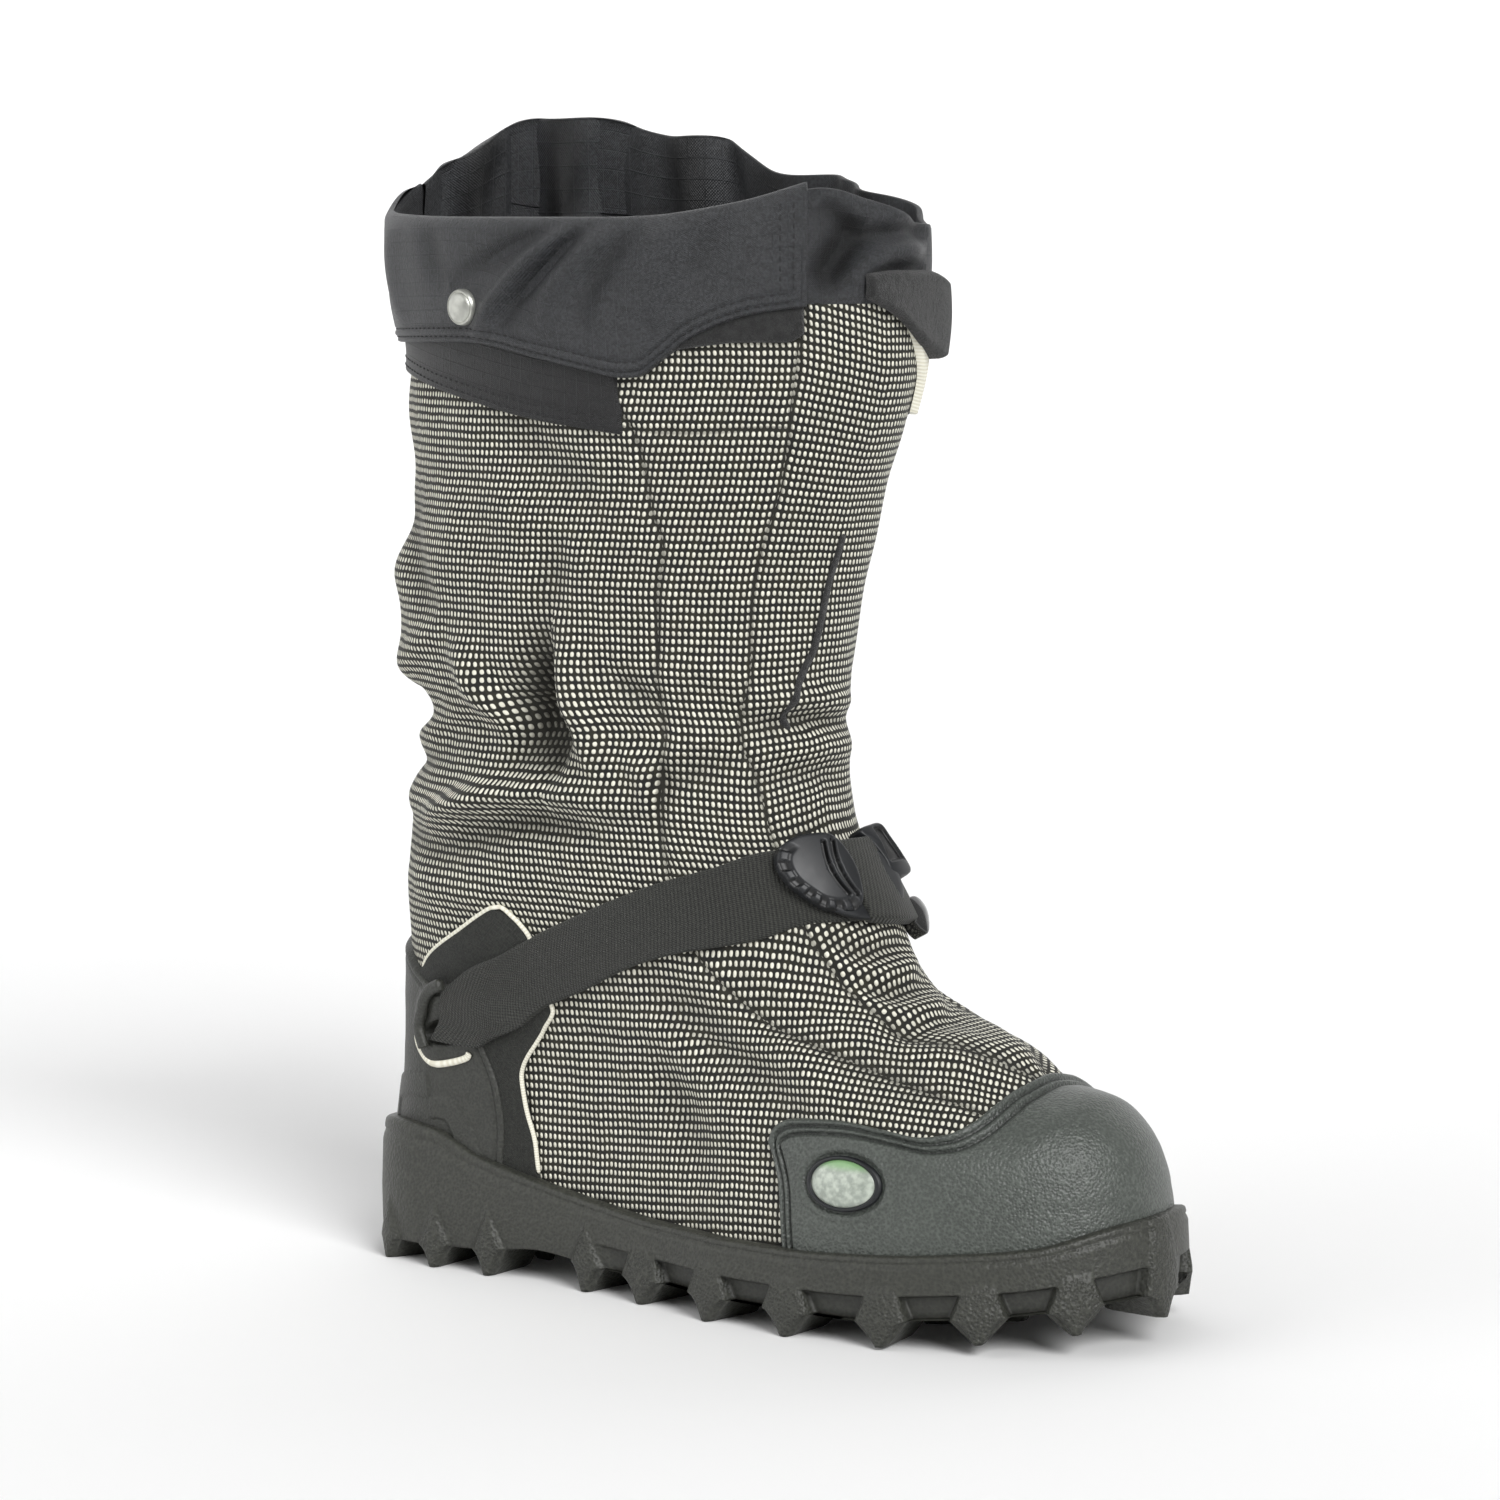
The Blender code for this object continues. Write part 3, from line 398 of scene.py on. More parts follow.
# Main folds of the cloth, from the back of the shaft down to the vamp
CREASES = creases(
    (-4, 5, 5, (-0.1, 196), (0, 194), (0.08, 195), (0.17, 201)),
    (3.4, 5, 6, (0.02, 206), (0.1, 209), (0.2, 216), (0.29, 226)),
    (3, 4, 5, (0.03, 186), (0.12, 186), (0.22, 190), (0.33, 199)),
    (-2.6, 4, 4, (0.02, 178), (0.14, 177), (0.27, 181)),
    (3, 6, 5, (0.06, 166), (0.2, 163), (0.33, 166), (0.42, 172)),
    (-2.4, 5, 6, (0.1, 152), (0.25, 149), (0.4, 155)),
    (2.4, 6, 6, (0.14, 137), (0.3, 134), (0.45, 141)),
    (-5, 7, 7, (0.525, 224), (0.5, 207), (0.465, 191), (0.44, 179)),
    (-8, 9, 5, (0.53, 220), (0.525, 205), (0.52, 191), (0.52, 177)),
    (6, 4, 9, (0.545, 226), (0.56, 207), (0.585, 190), (0.62, 178)),
    (2.6, 8, 8, (0.36, 226), (0.38, 210), (0.36, 195)),
    (-2.2, 7, 6, (0.53, 262), (0.535, 245), (0.535, 232)),
    (6.5, 5, 6, (0.24, 158), (0.35, 167), (0.45, 172), (0.55, 173), (0.66, 169)),
    (-3.2, 5, 6, (0.34, 156), (0.46, 161), (0.6, 160)),
    (3, 7, 6, (0.36, 216), (0.41, 202), (0.43, 189)),
    (2, 12, 12, (0.3, 246), (0.33, 262), (0.34, 282)),
    (-2.6, 10, 9, (0.17, 262), (0.22, 246), (0.3, 232)),
    (2.2, 9, 9, (0.02, 240), (0.1, 243), (0.18, 238)),
    (-2.4, 9, 9, (0.03, 258), (0.12, 262), (0.22, 272)),
    (-1.6, 9, 9, (0.45, 300), (0.5, 286), (0.6, 276)),
    (1.6, 10, 10, (0.38, 286), (0.46, 268), (0.55, 258)),
    (3.6, 4, 4, (0.655, 190), (0.685, 180), (0.708, 167)),
    (-2.8, 3, 3, (0.712, 186), (0.715, 176), (0.71, 164)),
    (2.6, 4, 5, (0.7, 184), (0.74, 190), (0.79, 196)),
    (-2.2, 4, 4, (0.72, 176), (0.77, 182), (0.83, 186)),
    (-2.8, 5, 5, (0.64, 214), (0.68, 208), (0.71, 206)),
    (1.8, 5, 5, (0.72, 214), (0.78, 216), (0.845, 211)),
    (-4, 3.5, 4, (0.86, 196), (0.9, 199), (0.96, 199), (1.04, 197)),
    (3.6, 6, 4, (0.86, 205), (0.92, 207), (1, 206), (1.08, 203)),
    (2.6, 4, 5, (0.87, 189), (0.93, 190), (1, 188), (1.07, 188)),
    (-2.2, 4, 5, (0.87, 178), (0.94, 181), (1.02, 179)),
    (-2.4, 3, 3, (0.895, 129), (0.925, 124), (0.955, 123), (1.03, 124)),
    (2.4, 3, 3, (0.892, 123), (0.92, 117), (0.955, 116), (1.04, 117)),
    (-2.6, 3, 3, (0.9, 116), (0.925, 110), (0.96, 109.5), (1.04, 111)),
    (2.6, 3, 3, (0.9, 109), (0.925, 104), (0.96, 103.5), (1.04, 105)),
    (-2.6, 3, 3, (0.905, 100), (0.93, 98.5), (0.96, 99), (1.02, 100)),
    (3.2, 5, 5, (0.92, 96), (0.96, 92), (1.03, 92)),
    (-3, 7, 9, (0.6, 108), (0.63, 96), (0.655, 84), (0.68, 76)),
    (2.4, 7, 8, (0.69, 100), (0.72, 90), (0.735, 80)),
    (2, 9, 8, (0.54, 92), (0.56, 76), (0.58, 60)),
    (-1.6, 8, 8, (0.49, 84), (0.5, 66), (0.51, 50)),
    (-2.2, 6, 6, (0.74, 108), (0.77, 98), (0.82, 88), (0.87, 82)),
    (2.2, 6, 7, (0.79, 113), (0.83, 103), (0.87, 95)),
    (3.2, 7, 7, (1.93, 186), (1.8, 182), (1.66, 190)),
    (-3.2, 8, 8, (1.95, 201), (1.82, 206), (1.7, 214)),
    (4, 9, 9, (1.7, 166), (1.5, 170), (1.33, 176)),
    (-5, 10, 8, (1.45, 224), (1.47, 204), (1.5, 186)),
    (3.4, 9, 9, (1.4, 220), (1.37, 200), (1.32, 184)),
    (-2.4, 6, 6, (1.2, 192), (1.12, 199), (1.04, 197)),
    (2.2, 14, 14, (1.6, 250), (1.64, 270), (1.62, 290)),
    (-2.2, 12, 12, (1.36, 96), (1.34, 82), (1.3, 68)),
    (2, 8, 8, (1.15, 106), (1.1, 98), (1.07, 92)))

SEAM_A = path(
    (0.58, 339), (0.588, 311), (0.613, 303.5), (0.64, 294), (0.658, 283), (0.678, 270),
    (0.698, 262), (0.707, 254), (0.709, 241), (0.712, 221), (0.712, 199), (0.712, 186),
    (0.708, 170), (0.7, 150), (0.683, 128), (0.7, 120), (0.738, 103), (0.778, 94), (0.823, 87),
    (0.862, 81), (0.9, 74))
SEAM_B = path(
    (0.857, 346), (0.842, 326), (0.839, 314), (0.846, 297), (0.854, 276), (0.846, 256),
    (0.846, 232), (0.851, 217), (0.843, 208), (0.833, 198), (0.839, 189), (0.857, 182),
    (0.872, 168), (0.874, 150), (0.868, 132), (0.884, 118), (0.896, 106), (0.91, 98), (0.935, 93),
    (0.962, 89), (0.985, 85), (1, 80))
SEAM_CROSS = path(
    (0.61, 298), (0.7, 296.6), (0.838, 298.2))
SLIT = path(
    (0.972, 262), (0.968, 254.6), (0.96, 245.5), (0.954, 235), (0.947, 224), (0.933, 217),
    (0.916, 208), (0.905, 201), (0.914, 196))


REACH = Spot(0.16, 30)   # how far beyond its path a crease is felt


def crease_height(s: Array, z: Array) -> Array:
    """Sum of the listed creases at places on the cloth, in millimetres."""
    total = np.zeros(s.shape)
    for crease in CREASES:
        low = min(spot.s for spot in crease.path.spots) - REACH.s
        high = max(spot.s for spot in crease.path.spots) + REACH.s
        turn = np.where(s > 1.97, s - 2.0, s) if low < -0.2 else s
        levels = [spot.z for spot in crease.path.spots]
        near = np.nonzero((turn > low) & (turn < high)
                          & (z > min(levels) - REACH.z) & (z < max(levels) + REACH.z))
        if not near[0].size:
            continue
        tall, share = crease.across(turn[near], z[near])
        total[near] += tall * np.sin(np.pi * np.clip(share * 0.86 + 0.07, 0, 1)) ** 0.7
    return total


def ripple(s: Array, z: Array) -> Array:
    """Soft irregular waves that slack cloth has between its folds, in millimetres."""
    place = LAST.flat(s, z)
    x, y = place[..., 0], place[..., 1]
    round_ = np.cos(np.pi * s)
    return (0.35 * np.sin(x / 13.0 + 1.3 * np.sin(y / 29.0)) * np.sin(y / 17.0 + 0.9 * round_)
            + 0.25 * np.sin(x / 7.3 - y / 19.0 + 2.0) * np.sin(y / 11.0 + x / 41.0)
            + 0.12 * np.sin(x / 4.1 + y / 6.7))


def cloth_out(s: Array, z: Array) -> Array:
    """How far the cloth's outer face stands off the last, seams and creases included."""
    calm = ease((z - LAST.lip(s) - 2.0) / 16.0) * ease((CLOTH_TOP - 4.0 - z) / 24.0)
    strong = 1.0 + 0.3 * ease((s - 0.22) / 0.12) * ease((0.96 - s) / 0.12)
    out = (crease_height(s, z) + 1.3 * ripple(s, z)) * calm * strong
    for seam, depth in ((SEAM_A, 0.9), (SEAM_B, 0.8), (SEAM_CROSS, 0.5)):
        far, _ = seam.measure(np.where(s > 1, 2 - s, s), z)
        out -= depth * np.exp(-(far / 1.5) ** 2)
        out += 0.5 * depth * np.exp(-((np.abs(far) - 3.2) / 1.8) ** 2)
    return out


# Mesh building

Shape = Callable[[Array, Array], Array]


@dataclass
class Sheet:
    """Rectangular net whose vertices a function of two shares moves into place."""

    name: str
    columns: int
    rows: int
    wrap: bool = False
    turned: bool = False

    def build(self, shape: Shape, maps: dict[str, Shape] | None = None,
              values: dict[str, Shape] | None = None) -> bpy.types.Object:
        """Makes the object.

        Args:
            shape: Gives points in millimetres for shares along the columns and the rows.
            maps: UV maps by name, each a function of the same two shares.
            values: Float attributes by name, each a function of the same two shares.

        Returns:
            The smooth-shaded object, at the origin.
        """
        net = bmesh.new()
        bmesh.ops.create_grid(net, x_segments=self.columns, y_segments=self.rows, size=0.5)
        if self.turned:
            bmesh.ops.reverse_faces(net, faces=net.faces)
        data = bpy.data.meshes.new(self.name)
        net.to_mesh(data)
        net.free()
        flat = np.empty(len(data.vertices) * 3)
        data.vertices.foreach_get("co", flat)
        u, v = flat.reshape(-1, 3)[:, 0] + 0.5, flat.reshape(-1, 3)[:, 1] + 0.5
        data.vertices.foreach_set("co", (shape(u, v) * MM).ravel())
        corner = np.empty(len(data.loops), dtype=np.int32)
        data.loops.foreach_get("vertex_index", corner)
        for name, layout in (maps or {}).items():
            layer = data.uv_layers.new(name=name)
            layer.data.foreach_set("uv", layout(u, v)[corner].ravel())
        for name, value in (values or {}).items():
            data.attributes.new(name, "FLOAT", "POINT").data.foreach_set("value", value(u, v))
        data.polygons.foreach_set("use_smooth", [True] * len(data.polygons))
        if self.wrap:
            self.close(data)
        return linked(self.name, data)

    @staticmethod
    def close(data: bpy.types.Mesh) -> None:
        """Joins the first and last column of a net that runs right round."""
        net = bmesh.new()
        net.from_mesh(data)
        bmesh.ops.remove_doubles(net, verts=net.verts, dist=1e-6)
        net.to_mesh(data)
        net.free()


def linked(name: str, data: bpy.types.Mesh) -> bpy.types.Object:
    """Object for a mesh, in the scene."""
    made = bpy.data.objects.new(name, data)
    bpy.context.scene.collection.objects.link(made)
    return made


def from_bmesh(name: str, net: bmesh.types.BMesh) -> bpy.types.Object:
    """Object from a finished bmesh, with its faces turned outwards."""
    bmesh.ops.recalc_face_normals(net, faces=net.faces)
    for face in net.faces:
        face.smooth = True
    data = bpy.data.meshes.new(name)
    net.to_mesh(data)
    net.free()
    return linked(name, data)


class Station(NamedTuple):
    """One station along an overlay: its two edges as turn and level; a z_low of 0 is the lip."""

    s_low: float
    z_low: float
    s_high: float
    z_high: float


@dataclass
class Strip:
    """Overlay between a lower and an upper edge on the last, with rounded borders."""

    name: str
    stations: tuple[Station, ...]
    over: Sequence[float]
    columns: int = 200
    rows: int = 40
    round_over: float = 1.4
    lift: Shape | None = None
    under: float = 0.0
    foot: bool = False
    round_top: float = 0.0

    def __post_init__(self) -> None:
        """Works out the edges once; a foot runs straight down behind the sole's lip."""
        rows = []
        for station in self.stations:
            lips = [float(LAST.lip(np.array(s))) for s in (station.s_low, station.s_high)]
            rows.append((station.s_low, station.z_low or lips[0],
                         station.s_high, station.z_high or lips[1]))
        over = self.over if len(self.over) == len(rows) else [self.over[0]] * len(rows)
        named = [Numbered(float(k), *row, float(over[k])) for k, row in enumerate(rows)]
        t = np.linspace(0, len(rows) - 1, 400)
        self.table = {c: curve(named, c, t) for c in Numbered._fields[1:]}
        if all(station.z_low == 0 for station in self.stations):
            self.table["z_low"] = LAST.lip(self.table["s_low"]) - FOOT_DEPTH
            self.foot = True
        mid = LAST.at((self.table["s_low"] + self.table["s_high"]) / 2,
                      (self.table["z_low"] + self.table["z_high"]) / 2)
        self.run = lengths(mid)
        ends = [LAST.at(self.table["s_" + e], self.table["z_" + e]) for e in ("low", "high")]
        self.width = np.maximum(np.linalg.norm(ends[1] - ends[0], axis=1), 1.0)

    def wide(self, u: Array) -> Array:
        """Width in millimetres at shares along the strip."""
        return np.interp(u * self.run[-1], self.run, self.width)

    def place(self, u: Array, v: Array) -> tuple[Array, Array, Array]:
        """Turn, level and height of the top face at shares along and across the strip."""
        k = np.interp(u, self.run / self.run[-1], np.arange(len(self.run)))
        read = {c: np.interp(k, np.arange(len(self.run)), col) for c, col in self.table.items()}
        s = read["s_low"] * (1 - v) + read["s_high"] * v
        z = read["z_low"] * (1 - v) + read["z_high"] * v
        return s, z, read["over"]

    def metric(self, u: Array, v: Array) -> Array:
        """Distances in millimetres along and across the strip."""
        return np.stack([u * self.run[-1], v * self.wide(u)], -1)

    def border(self, u: Array, v: Array) -> Array:
        """Distance in millimetres to the nearest edge of the strip."""
        across = (1 - v if self.foot else np.minimum(v, 1 - v)) * self.wide(u)
        return np.minimum(across, np.minimum(u, 1 - u) * self.run[-1])

    def top(self, u: Array, v: Array) -> Array:
        """Points of the top face at shares along and across the strip."""
        s, z, over = self.place(u, v)
        roll = rounded(self.border(u, v) / self.round_over)
        if self.round_top:
            roll = np.minimum(roll, rounded((1 - v) * self.wide(u) / self.round_top))
        out = self.under + (over - self.under) * roll
        return LAST.at(s, z, out if self.lift is None else out + self.lift(u, v))

    def build(self, values: dict[str, Shape] | None = None) -> bpy.types.Object:
        """Makes the strip, its edge rolled down to the cloth, with a UV map in millimetres."""
        def spread(t: Array, size: float) -> Array:
            """Moves shares so that more of them lie near both borders."""
            k = min(0.9, 3.0 * self.round_over / size)
            return t - k * np.sin(2 * np.pi * t) / (2 * np.pi)

        wide = float(np.median(self.width))

        def shares(layout: Shape) -> Shape:
            """The same function of the evenly spaced shares."""
            return lambda u, v: layout(spread(u, self.run[-1]), spread(v, wide))

        values = {name: shares(value) for name, value in (values or {}).items()}
        net = Sheet(self.name, self.columns, self.rows)
        return net.build(shares(self.top), {"fabric": shares(self.metric)}, values)


class Numbered(NamedTuple):
    """Station of a strip with its number and the height of its top face."""

    k: float
    s_low: float
    z_low: float
    s_high: float
    z_high: float
    over: float


def mirrored(stations: tuple[Station, ...]) -> tuple[Station, ...]:
    """The same stations on the other side of the front."""
    return tuple(Station(2 - e.s_low, e.z_low, 2 - e.s_high, e.z_high)
                 for e in reversed(stations))


@dataclass
class Cord:
    """Round bead, piping or thread that follows a path on the last."""

    name: str
    path: Path
    radius: float
    out: float
    sides: int = 8
    squash: float = 1.0
    on_cloth: bool = False

    def build(self) -> bpy.types.Object:
        """Makes the bead as a tube round the path."""
        line = along(self.path.dense(), np.linspace(0, 1, 140))
        cloth = cloth_out(line[:, 0], line[:, 1]) if self.on_cloth else 0.0
        middle = LAST.at(line[:, 0], line[:, 1], self.out + cloth)
        normal = LAST.read(LAST.normal, line[:, 0], line[:, 1])
        tangent = np.gradient(middle, axis=0)
        tangent /= np.linalg.norm(tangent, axis=1, keepdims=True)
        across = np.cross(tangent, normal)

        def shape(u: Array, v: Array) -> Array:
            """Points round the path, drawn in at both ends."""
            k = np.rint(u * (len(line) - 1)).astype(int)
            a = 2 * np.pi * v
            end = rounded(np.minimum(k, len(line) - 1 - k) / 3.0)
            return (middle[k] + self.radius * end[:, None]
                    * (np.cos(a)[:, None] * across[k]
                       + self.squash * np.sin(a)[:, None] * normal[k]))

        def layout(u: Array, v: Array) -> Array:
            """Millimetres along and round the cord."""
            return np.stack([u * lengths(middle)[-1], v * 2 * np.pi * self.radius], -1)

        net = Sheet(self.name, len(line) - 1, self.sides, wrap=True)
        return net.build(shape, {"fabric": layout})


@dataclass
class StitchRow:
    """Rows of thread stitches along polylines, in millimetres."""

    name: str
    lines: tuple[Array, ...]
    length: float = 2.3
    gap: float = 1.0
    radius: float = 0.36

    def build(self) -> bpy.types.Object:
        """Makes every stitch as a small rounded grain lying along its line."""
        net = bmesh.new()
        for line in self.lines:
            total = lengths(line)[-1]
            step = self.length + self.gap
            starts = np.arange(0.0, total - self.length, step)
            ends = along(line, np.stack([starts, starts + self.length], 1).ravel() / total)
            for a, b in ends.reshape(-1, 2, 3):
                self.stitch(net, a, b)
        return from_bmesh(self.name, net)

    def stitch(self, net: bmesh.types.BMesh, start: Array, end: Array) -> None:
        """Adds one stitch between two points."""
        made = bmesh.ops.create_icosphere(net, subdivisions=1, radius=self.radius * MM)
        a, b = Vector(start * MM), Vector(end * MM)
        turn = (b - a).to_track_quat("X", "Z").to_matrix()
        grow = (b - a).length / (2 * self.radius * MM)
        for vert in made["verts"]:
            vert.co = (a + b) / 2 + turn @ Vector((vert.co.x * grow, vert.co.y, vert.co.z))


# Finishes

class Link(NamedTuple):
    """Socket of a node, to be joined to another."""

    node: bpy.types.Node
    socket: str | int


class Tree:
    """Short way to add and join nodes in one node tree."""

    def __init__(self, tree: bpy.types.NodeTree) -> None:
        """Keeps the tree that the nodes go into."""
        self.tree = tree

    def add(self, kind: str, settings: dict[str, object] | None = None,
            **inputs: object) -> bpy.types.Node:
        """Adds a node.

        Args:
            kind: Type of the node without its ShaderNode prefix.
            settings: Properties of the node itself.
            inputs: Values or links for its sockets, by name with _ for a space, or i and number.

        Returns:
            The node.
        """
        node = self.tree.nodes.new("ShaderNode" + kind)
        for name, value in (settings or {}).items():
            setattr(node, name, value)
        for name, value in inputs.items():
            numbered = name[0] == "i" and name[1:].isdigit()
            socket = int(name[1:]) if numbered else name.replace("_", " ")
            if isinstance(value, Link):
                self.join(value, node, socket)
            else:
                node.inputs[socket].default_value = value
        return node

    def join(self, value: Link, node: bpy.types.Node, socket: str | int) -> None:
        """Joins a result to a socket of a node."""
        self.tree.links.new(value.node.outputs[value.socket], node.inputs[socket])

    def held(self, name: str) -> Link:
        """Number that the mesh holds under a name."""
        return Link(self.add("Attribute", {"attribute_name": name}), "Fac")

    def place(self) -> Link:
        """Place on the object, in metres."""
        return Link(self.add("TexCoord"), "Object")

    def fabric(self) -> Link:
        """Place on the fabric, in millimetres."""
        return Link(self.add("UVMap", {"uv_map": "fabric"}), 0)

    def math(self, operation: str, *values: object) -> Link:
        """Adds a maths node and returns its result."""
        named = {f"i{k}": value for k, value in enumerate(values)}
        return Link(self.add("Math", {"operation": operation}, **named), 0)

    def mix(self, factor: object, first: object, second: object,
            blend: str = "MIX") -> Link:
        """Adds a colour mix and returns its result."""
        node = self.add("Mix", {"data_type": "RGBA", "blend_type": blend},
                        i0=factor, i6=first, i7=second)
        return Link(node, 2)

    def ramp(self, value: object, low: float, high: float) -> Link:
        """Smooth 0 to 1 as a value goes from low to high."""
        node = self.add("MapRange", {"interpolation_type": "SMOOTHSTEP"},
                        Value=value, From_Min=low, From_Max=high)
        return Link(node, 0)


class Sort(Enum):
    """Socket types that the shared groups use."""

    NUMBER = "NodeSocketFloat"
    VECTOR = "NodeSocketVector"


def group(name: str, inputs: dict[str, Sort], outputs: dict[str, Sort]
          ) -> tuple[Tree, bpy.types.Node, bpy.types.Node]:
    """Makes an empty shader node group with named sockets and its two end nodes."""
    made = bpy.data.node_groups.new(name, "ShaderNodeTree")
    for label, sort in inputs.items():
        made.interface.new_socket(label, in_out="INPUT", socket_type=sort.value)
    for label, sort in outputs.items():
        made.interface.new_socket(label, in_out="OUTPUT", socket_type=sort.value)
    return Tree(made), made.nodes.new("NodeGroupInput"), made.nodes.new("NodeGroupOutput")


def dot_weave() -> bpy.types.NodeTree:
    """Group: aligned grid of oblong raised dots; the UV is in cells, one dot in each."""
    tree, given, out = group(
        "dot weave", {"Cell": Sort.VECTOR},
        {"Dot": Sort.NUMBER, "Height": Sort.NUMBER, "Shade": Sort.NUMBER})
    cell = Link(given, "Cell")
    split = tree.add("SeparateXYZ", i0=cell)
    drift = tree.add("TexNoise", Vector=cell, Scale=0.35, Detail=2.0)
    push = tree.math("MULTIPLY", tree.math("SUBTRACT", Link(drift, 0), 0.5), 0.35)
    parts = []
    for axis, half in (("X", 0.295), ("Y", 0.32)):
        shifted = tree.math("ADD", Link(split, axis), push)
        parts.append(tree.math("DIVIDE", tree.math("SUBTRACT", tree.math("FRACT", shifted), 0.5),
                               half))
    lean = tree.math("ADD", parts[0], tree.math("MULTIPLY", parts[1], 0.16))
    far = tree.math("POWER", tree.math("ADD",
                                       tree.math("POWER", tree.math("ABSOLUTE", lean), 2.5),
                                       tree.math("POWER", tree.math("ABSOLUTE", parts[1]), 2.5)),
                    0.4)
    floor = tree.add("VectorMath", {"operation": "FLOOR"}, i0=cell)
    chance = tree.add("TexWhiteNoise", {"noise_dimensions": "2D"}, Vector=Link(floor, 0))
    tree.join(tree.ramp(far, 1.12, 0.8), out, "Dot")
    tree.join(tree.ramp(far, 1.25, 0.15), out, "Height")
    tree.join(tree.math("MULTIPLY_ADD", Link(chance, 0), 0.22, 0.8), out, "Shade")
    return tree.tree


def ripstop() -> bpy.types.NodeTree:
    """Group: plain weave with a thicker thread at even steps; the UV is in millimetres."""
    tree, given, out = group("ripstop", {"Place": Sort.VECTOR, "Step": Sort.NUMBER},
                             {"Line": Sort.NUMBER, "Weave": Sort.NUMBER})
    split = tree.add("SeparateXYZ", i0=Link(given, "Place"))
    lines = []
    for axis in ("X", "Y"):
        cell = tree.math("FRACT", tree.math("DIVIDE", Link(split, axis), Link(given, "Step")))
        off = tree.math("ABSOLUTE", tree.math("SUBTRACT", cell, 0.5))
        lines.append(tree.ramp(off, 0.045, 0.015))
    fine = [tree.math("SINE", tree.math("MULTIPLY", Link(split, axis), 9.0)) for axis in "XY"]
    tree.join(tree.math("MAXIMUM", *lines), out, "Line")
    tree.join(tree.math("MULTIPLY", *fine), out, "Weave")
    return tree.tree


def grain() -> bpy.types.NodeTree:
    """Group: pebbled skin of moulded rubber, with smaller and larger bumps."""
    tree, given, out = group("rubber grain", {"Place": Sort.VECTOR, "Size": Sort.NUMBER},
                             {"Height": Sort.NUMBER, "Patch": Sort.NUMBER})
    scale = tree.math("DIVIDE", 1000.0, Link(given, "Size"))
    pebble = tree.add("TexVoronoi", {"feature": "SMOOTH_F1"}, Vector=Link(given, "Place"),
                      Scale=scale, Smoothness=0.6)
    fine = tree.add("TexNoise", Vector=Link(given, "Place"), Detail=3.0,
                    Scale=tree.math("MULTIPLY", scale, 0.8))
    wide = tree.add("TexNoise", Vector=Link(given, "Place"), Scale=28.0, Detail=3.0)
    height = tree.math("ADD", tree.math("MULTIPLY", Link(pebble, 0), 0.7),
                       tree.math("MULTIPLY", Link(fine, 0), 0.6))
    tree.join(height, out, "Height")
    tree.join(Link(wide, 0), out, "Patch")
    return tree.tree


GROUPS: dict[str, bpy.types.NodeTree] = {}


def shared(maker: Callable[[], bpy.types.NodeTree]) -> bpy.types.NodeTree:
    """The node group of a maker function, made the first time it's asked for."""
    if maker.__name__ not in GROUPS:
        GROUPS[maker.__name__] = maker()
    return GROUPS[maker.__name__]


def paint(*bytes_: float) -> tuple[float, float, float, float]:
    """Linear colour from sRGB values of 0 to 255."""
    linear = [(v / 255 / 12.92) if v < 10.3 else ((v / 255 + 0.055) / 1.055) ** 2.4
              for v in bytes_]
    return (*linear, 1.0)


def tint(tone: tuple[float, ...], share: float) -> tuple[float, float, float, float]:
    """Linear colour of a tone made lighter or darker."""
    return paint(*[min(255, v * share) for v in tone])


# near-black that the painted shade in deep relief mixes towards
PAINTED_SHADE = (0.004, 0.004, 0.004, 1.0)


class Finish:
    """Base of the finishes: one material with a Principled shader."""

    def start(self, name: str) -> None:
        """Makes the material and keeps its tree and shader."""
        self.material = bpy.data.materials.new(name)
        self.material.use_nodes = True
        self.tree = Tree(self.material.node_tree)
        self.shader = self.material.node_tree.nodes["Principled BSDF"]

    def join(self, socket: str, value: Link) -> None:
        """Joins a result to a socket of the shader."""
        self.tree.join(value, self.shader, socket)

    def fixed(self, **values: float) -> None:
        """Sets plain values on the shader."""
        for name, value in values.items():
            self.shader.inputs[name.replace("_", " ")].default_value = value

    def shaded(self, colour: Link, amount: float) -> Link:
        """Colour with painted shade: it darkens where the mesh's hollow attribute says the relief
        is deep.
        """
        return self.tree.mix(self.tree.math("MULTIPLY", self.tree.held("hollow"), amount),
                             colour, PAINTED_SHADE)

    def bump(self, height: Link, distance: float, strength: float = 1.0) -> None:
        """Raises the surface by a height, in metres."""
        node = self.tree.add("Bump", Height=height, Distance=distance, Strength=strength)
        self.join("Normal", Link(node, 0))

    def uses(self, maker: Callable[[], bpy.types.NodeTree], **inputs: object) -> bpy.types.Node:
        """Adds a shared group."""
        node = self.tree.add("Group", {"node_tree": shared(maker)})
        for name, value in inputs.items():
            if isinstance(value, Link):
                self.tree.join(value, node, name)
            else:
                node.inputs[name].default_value = value
        return node


@dataclass(frozen=True)
class WeaveLook:
    """Colours of the dotted cloth."""

    dot: tuple[float, ...] = (240, 238, 222)
    ground: tuple[float, ...] = (12, 12, 8)
    thread: tuple[float, ...] = (36, 34, 22)
    seam: tuple[float, ...] = (30, 29, 22)


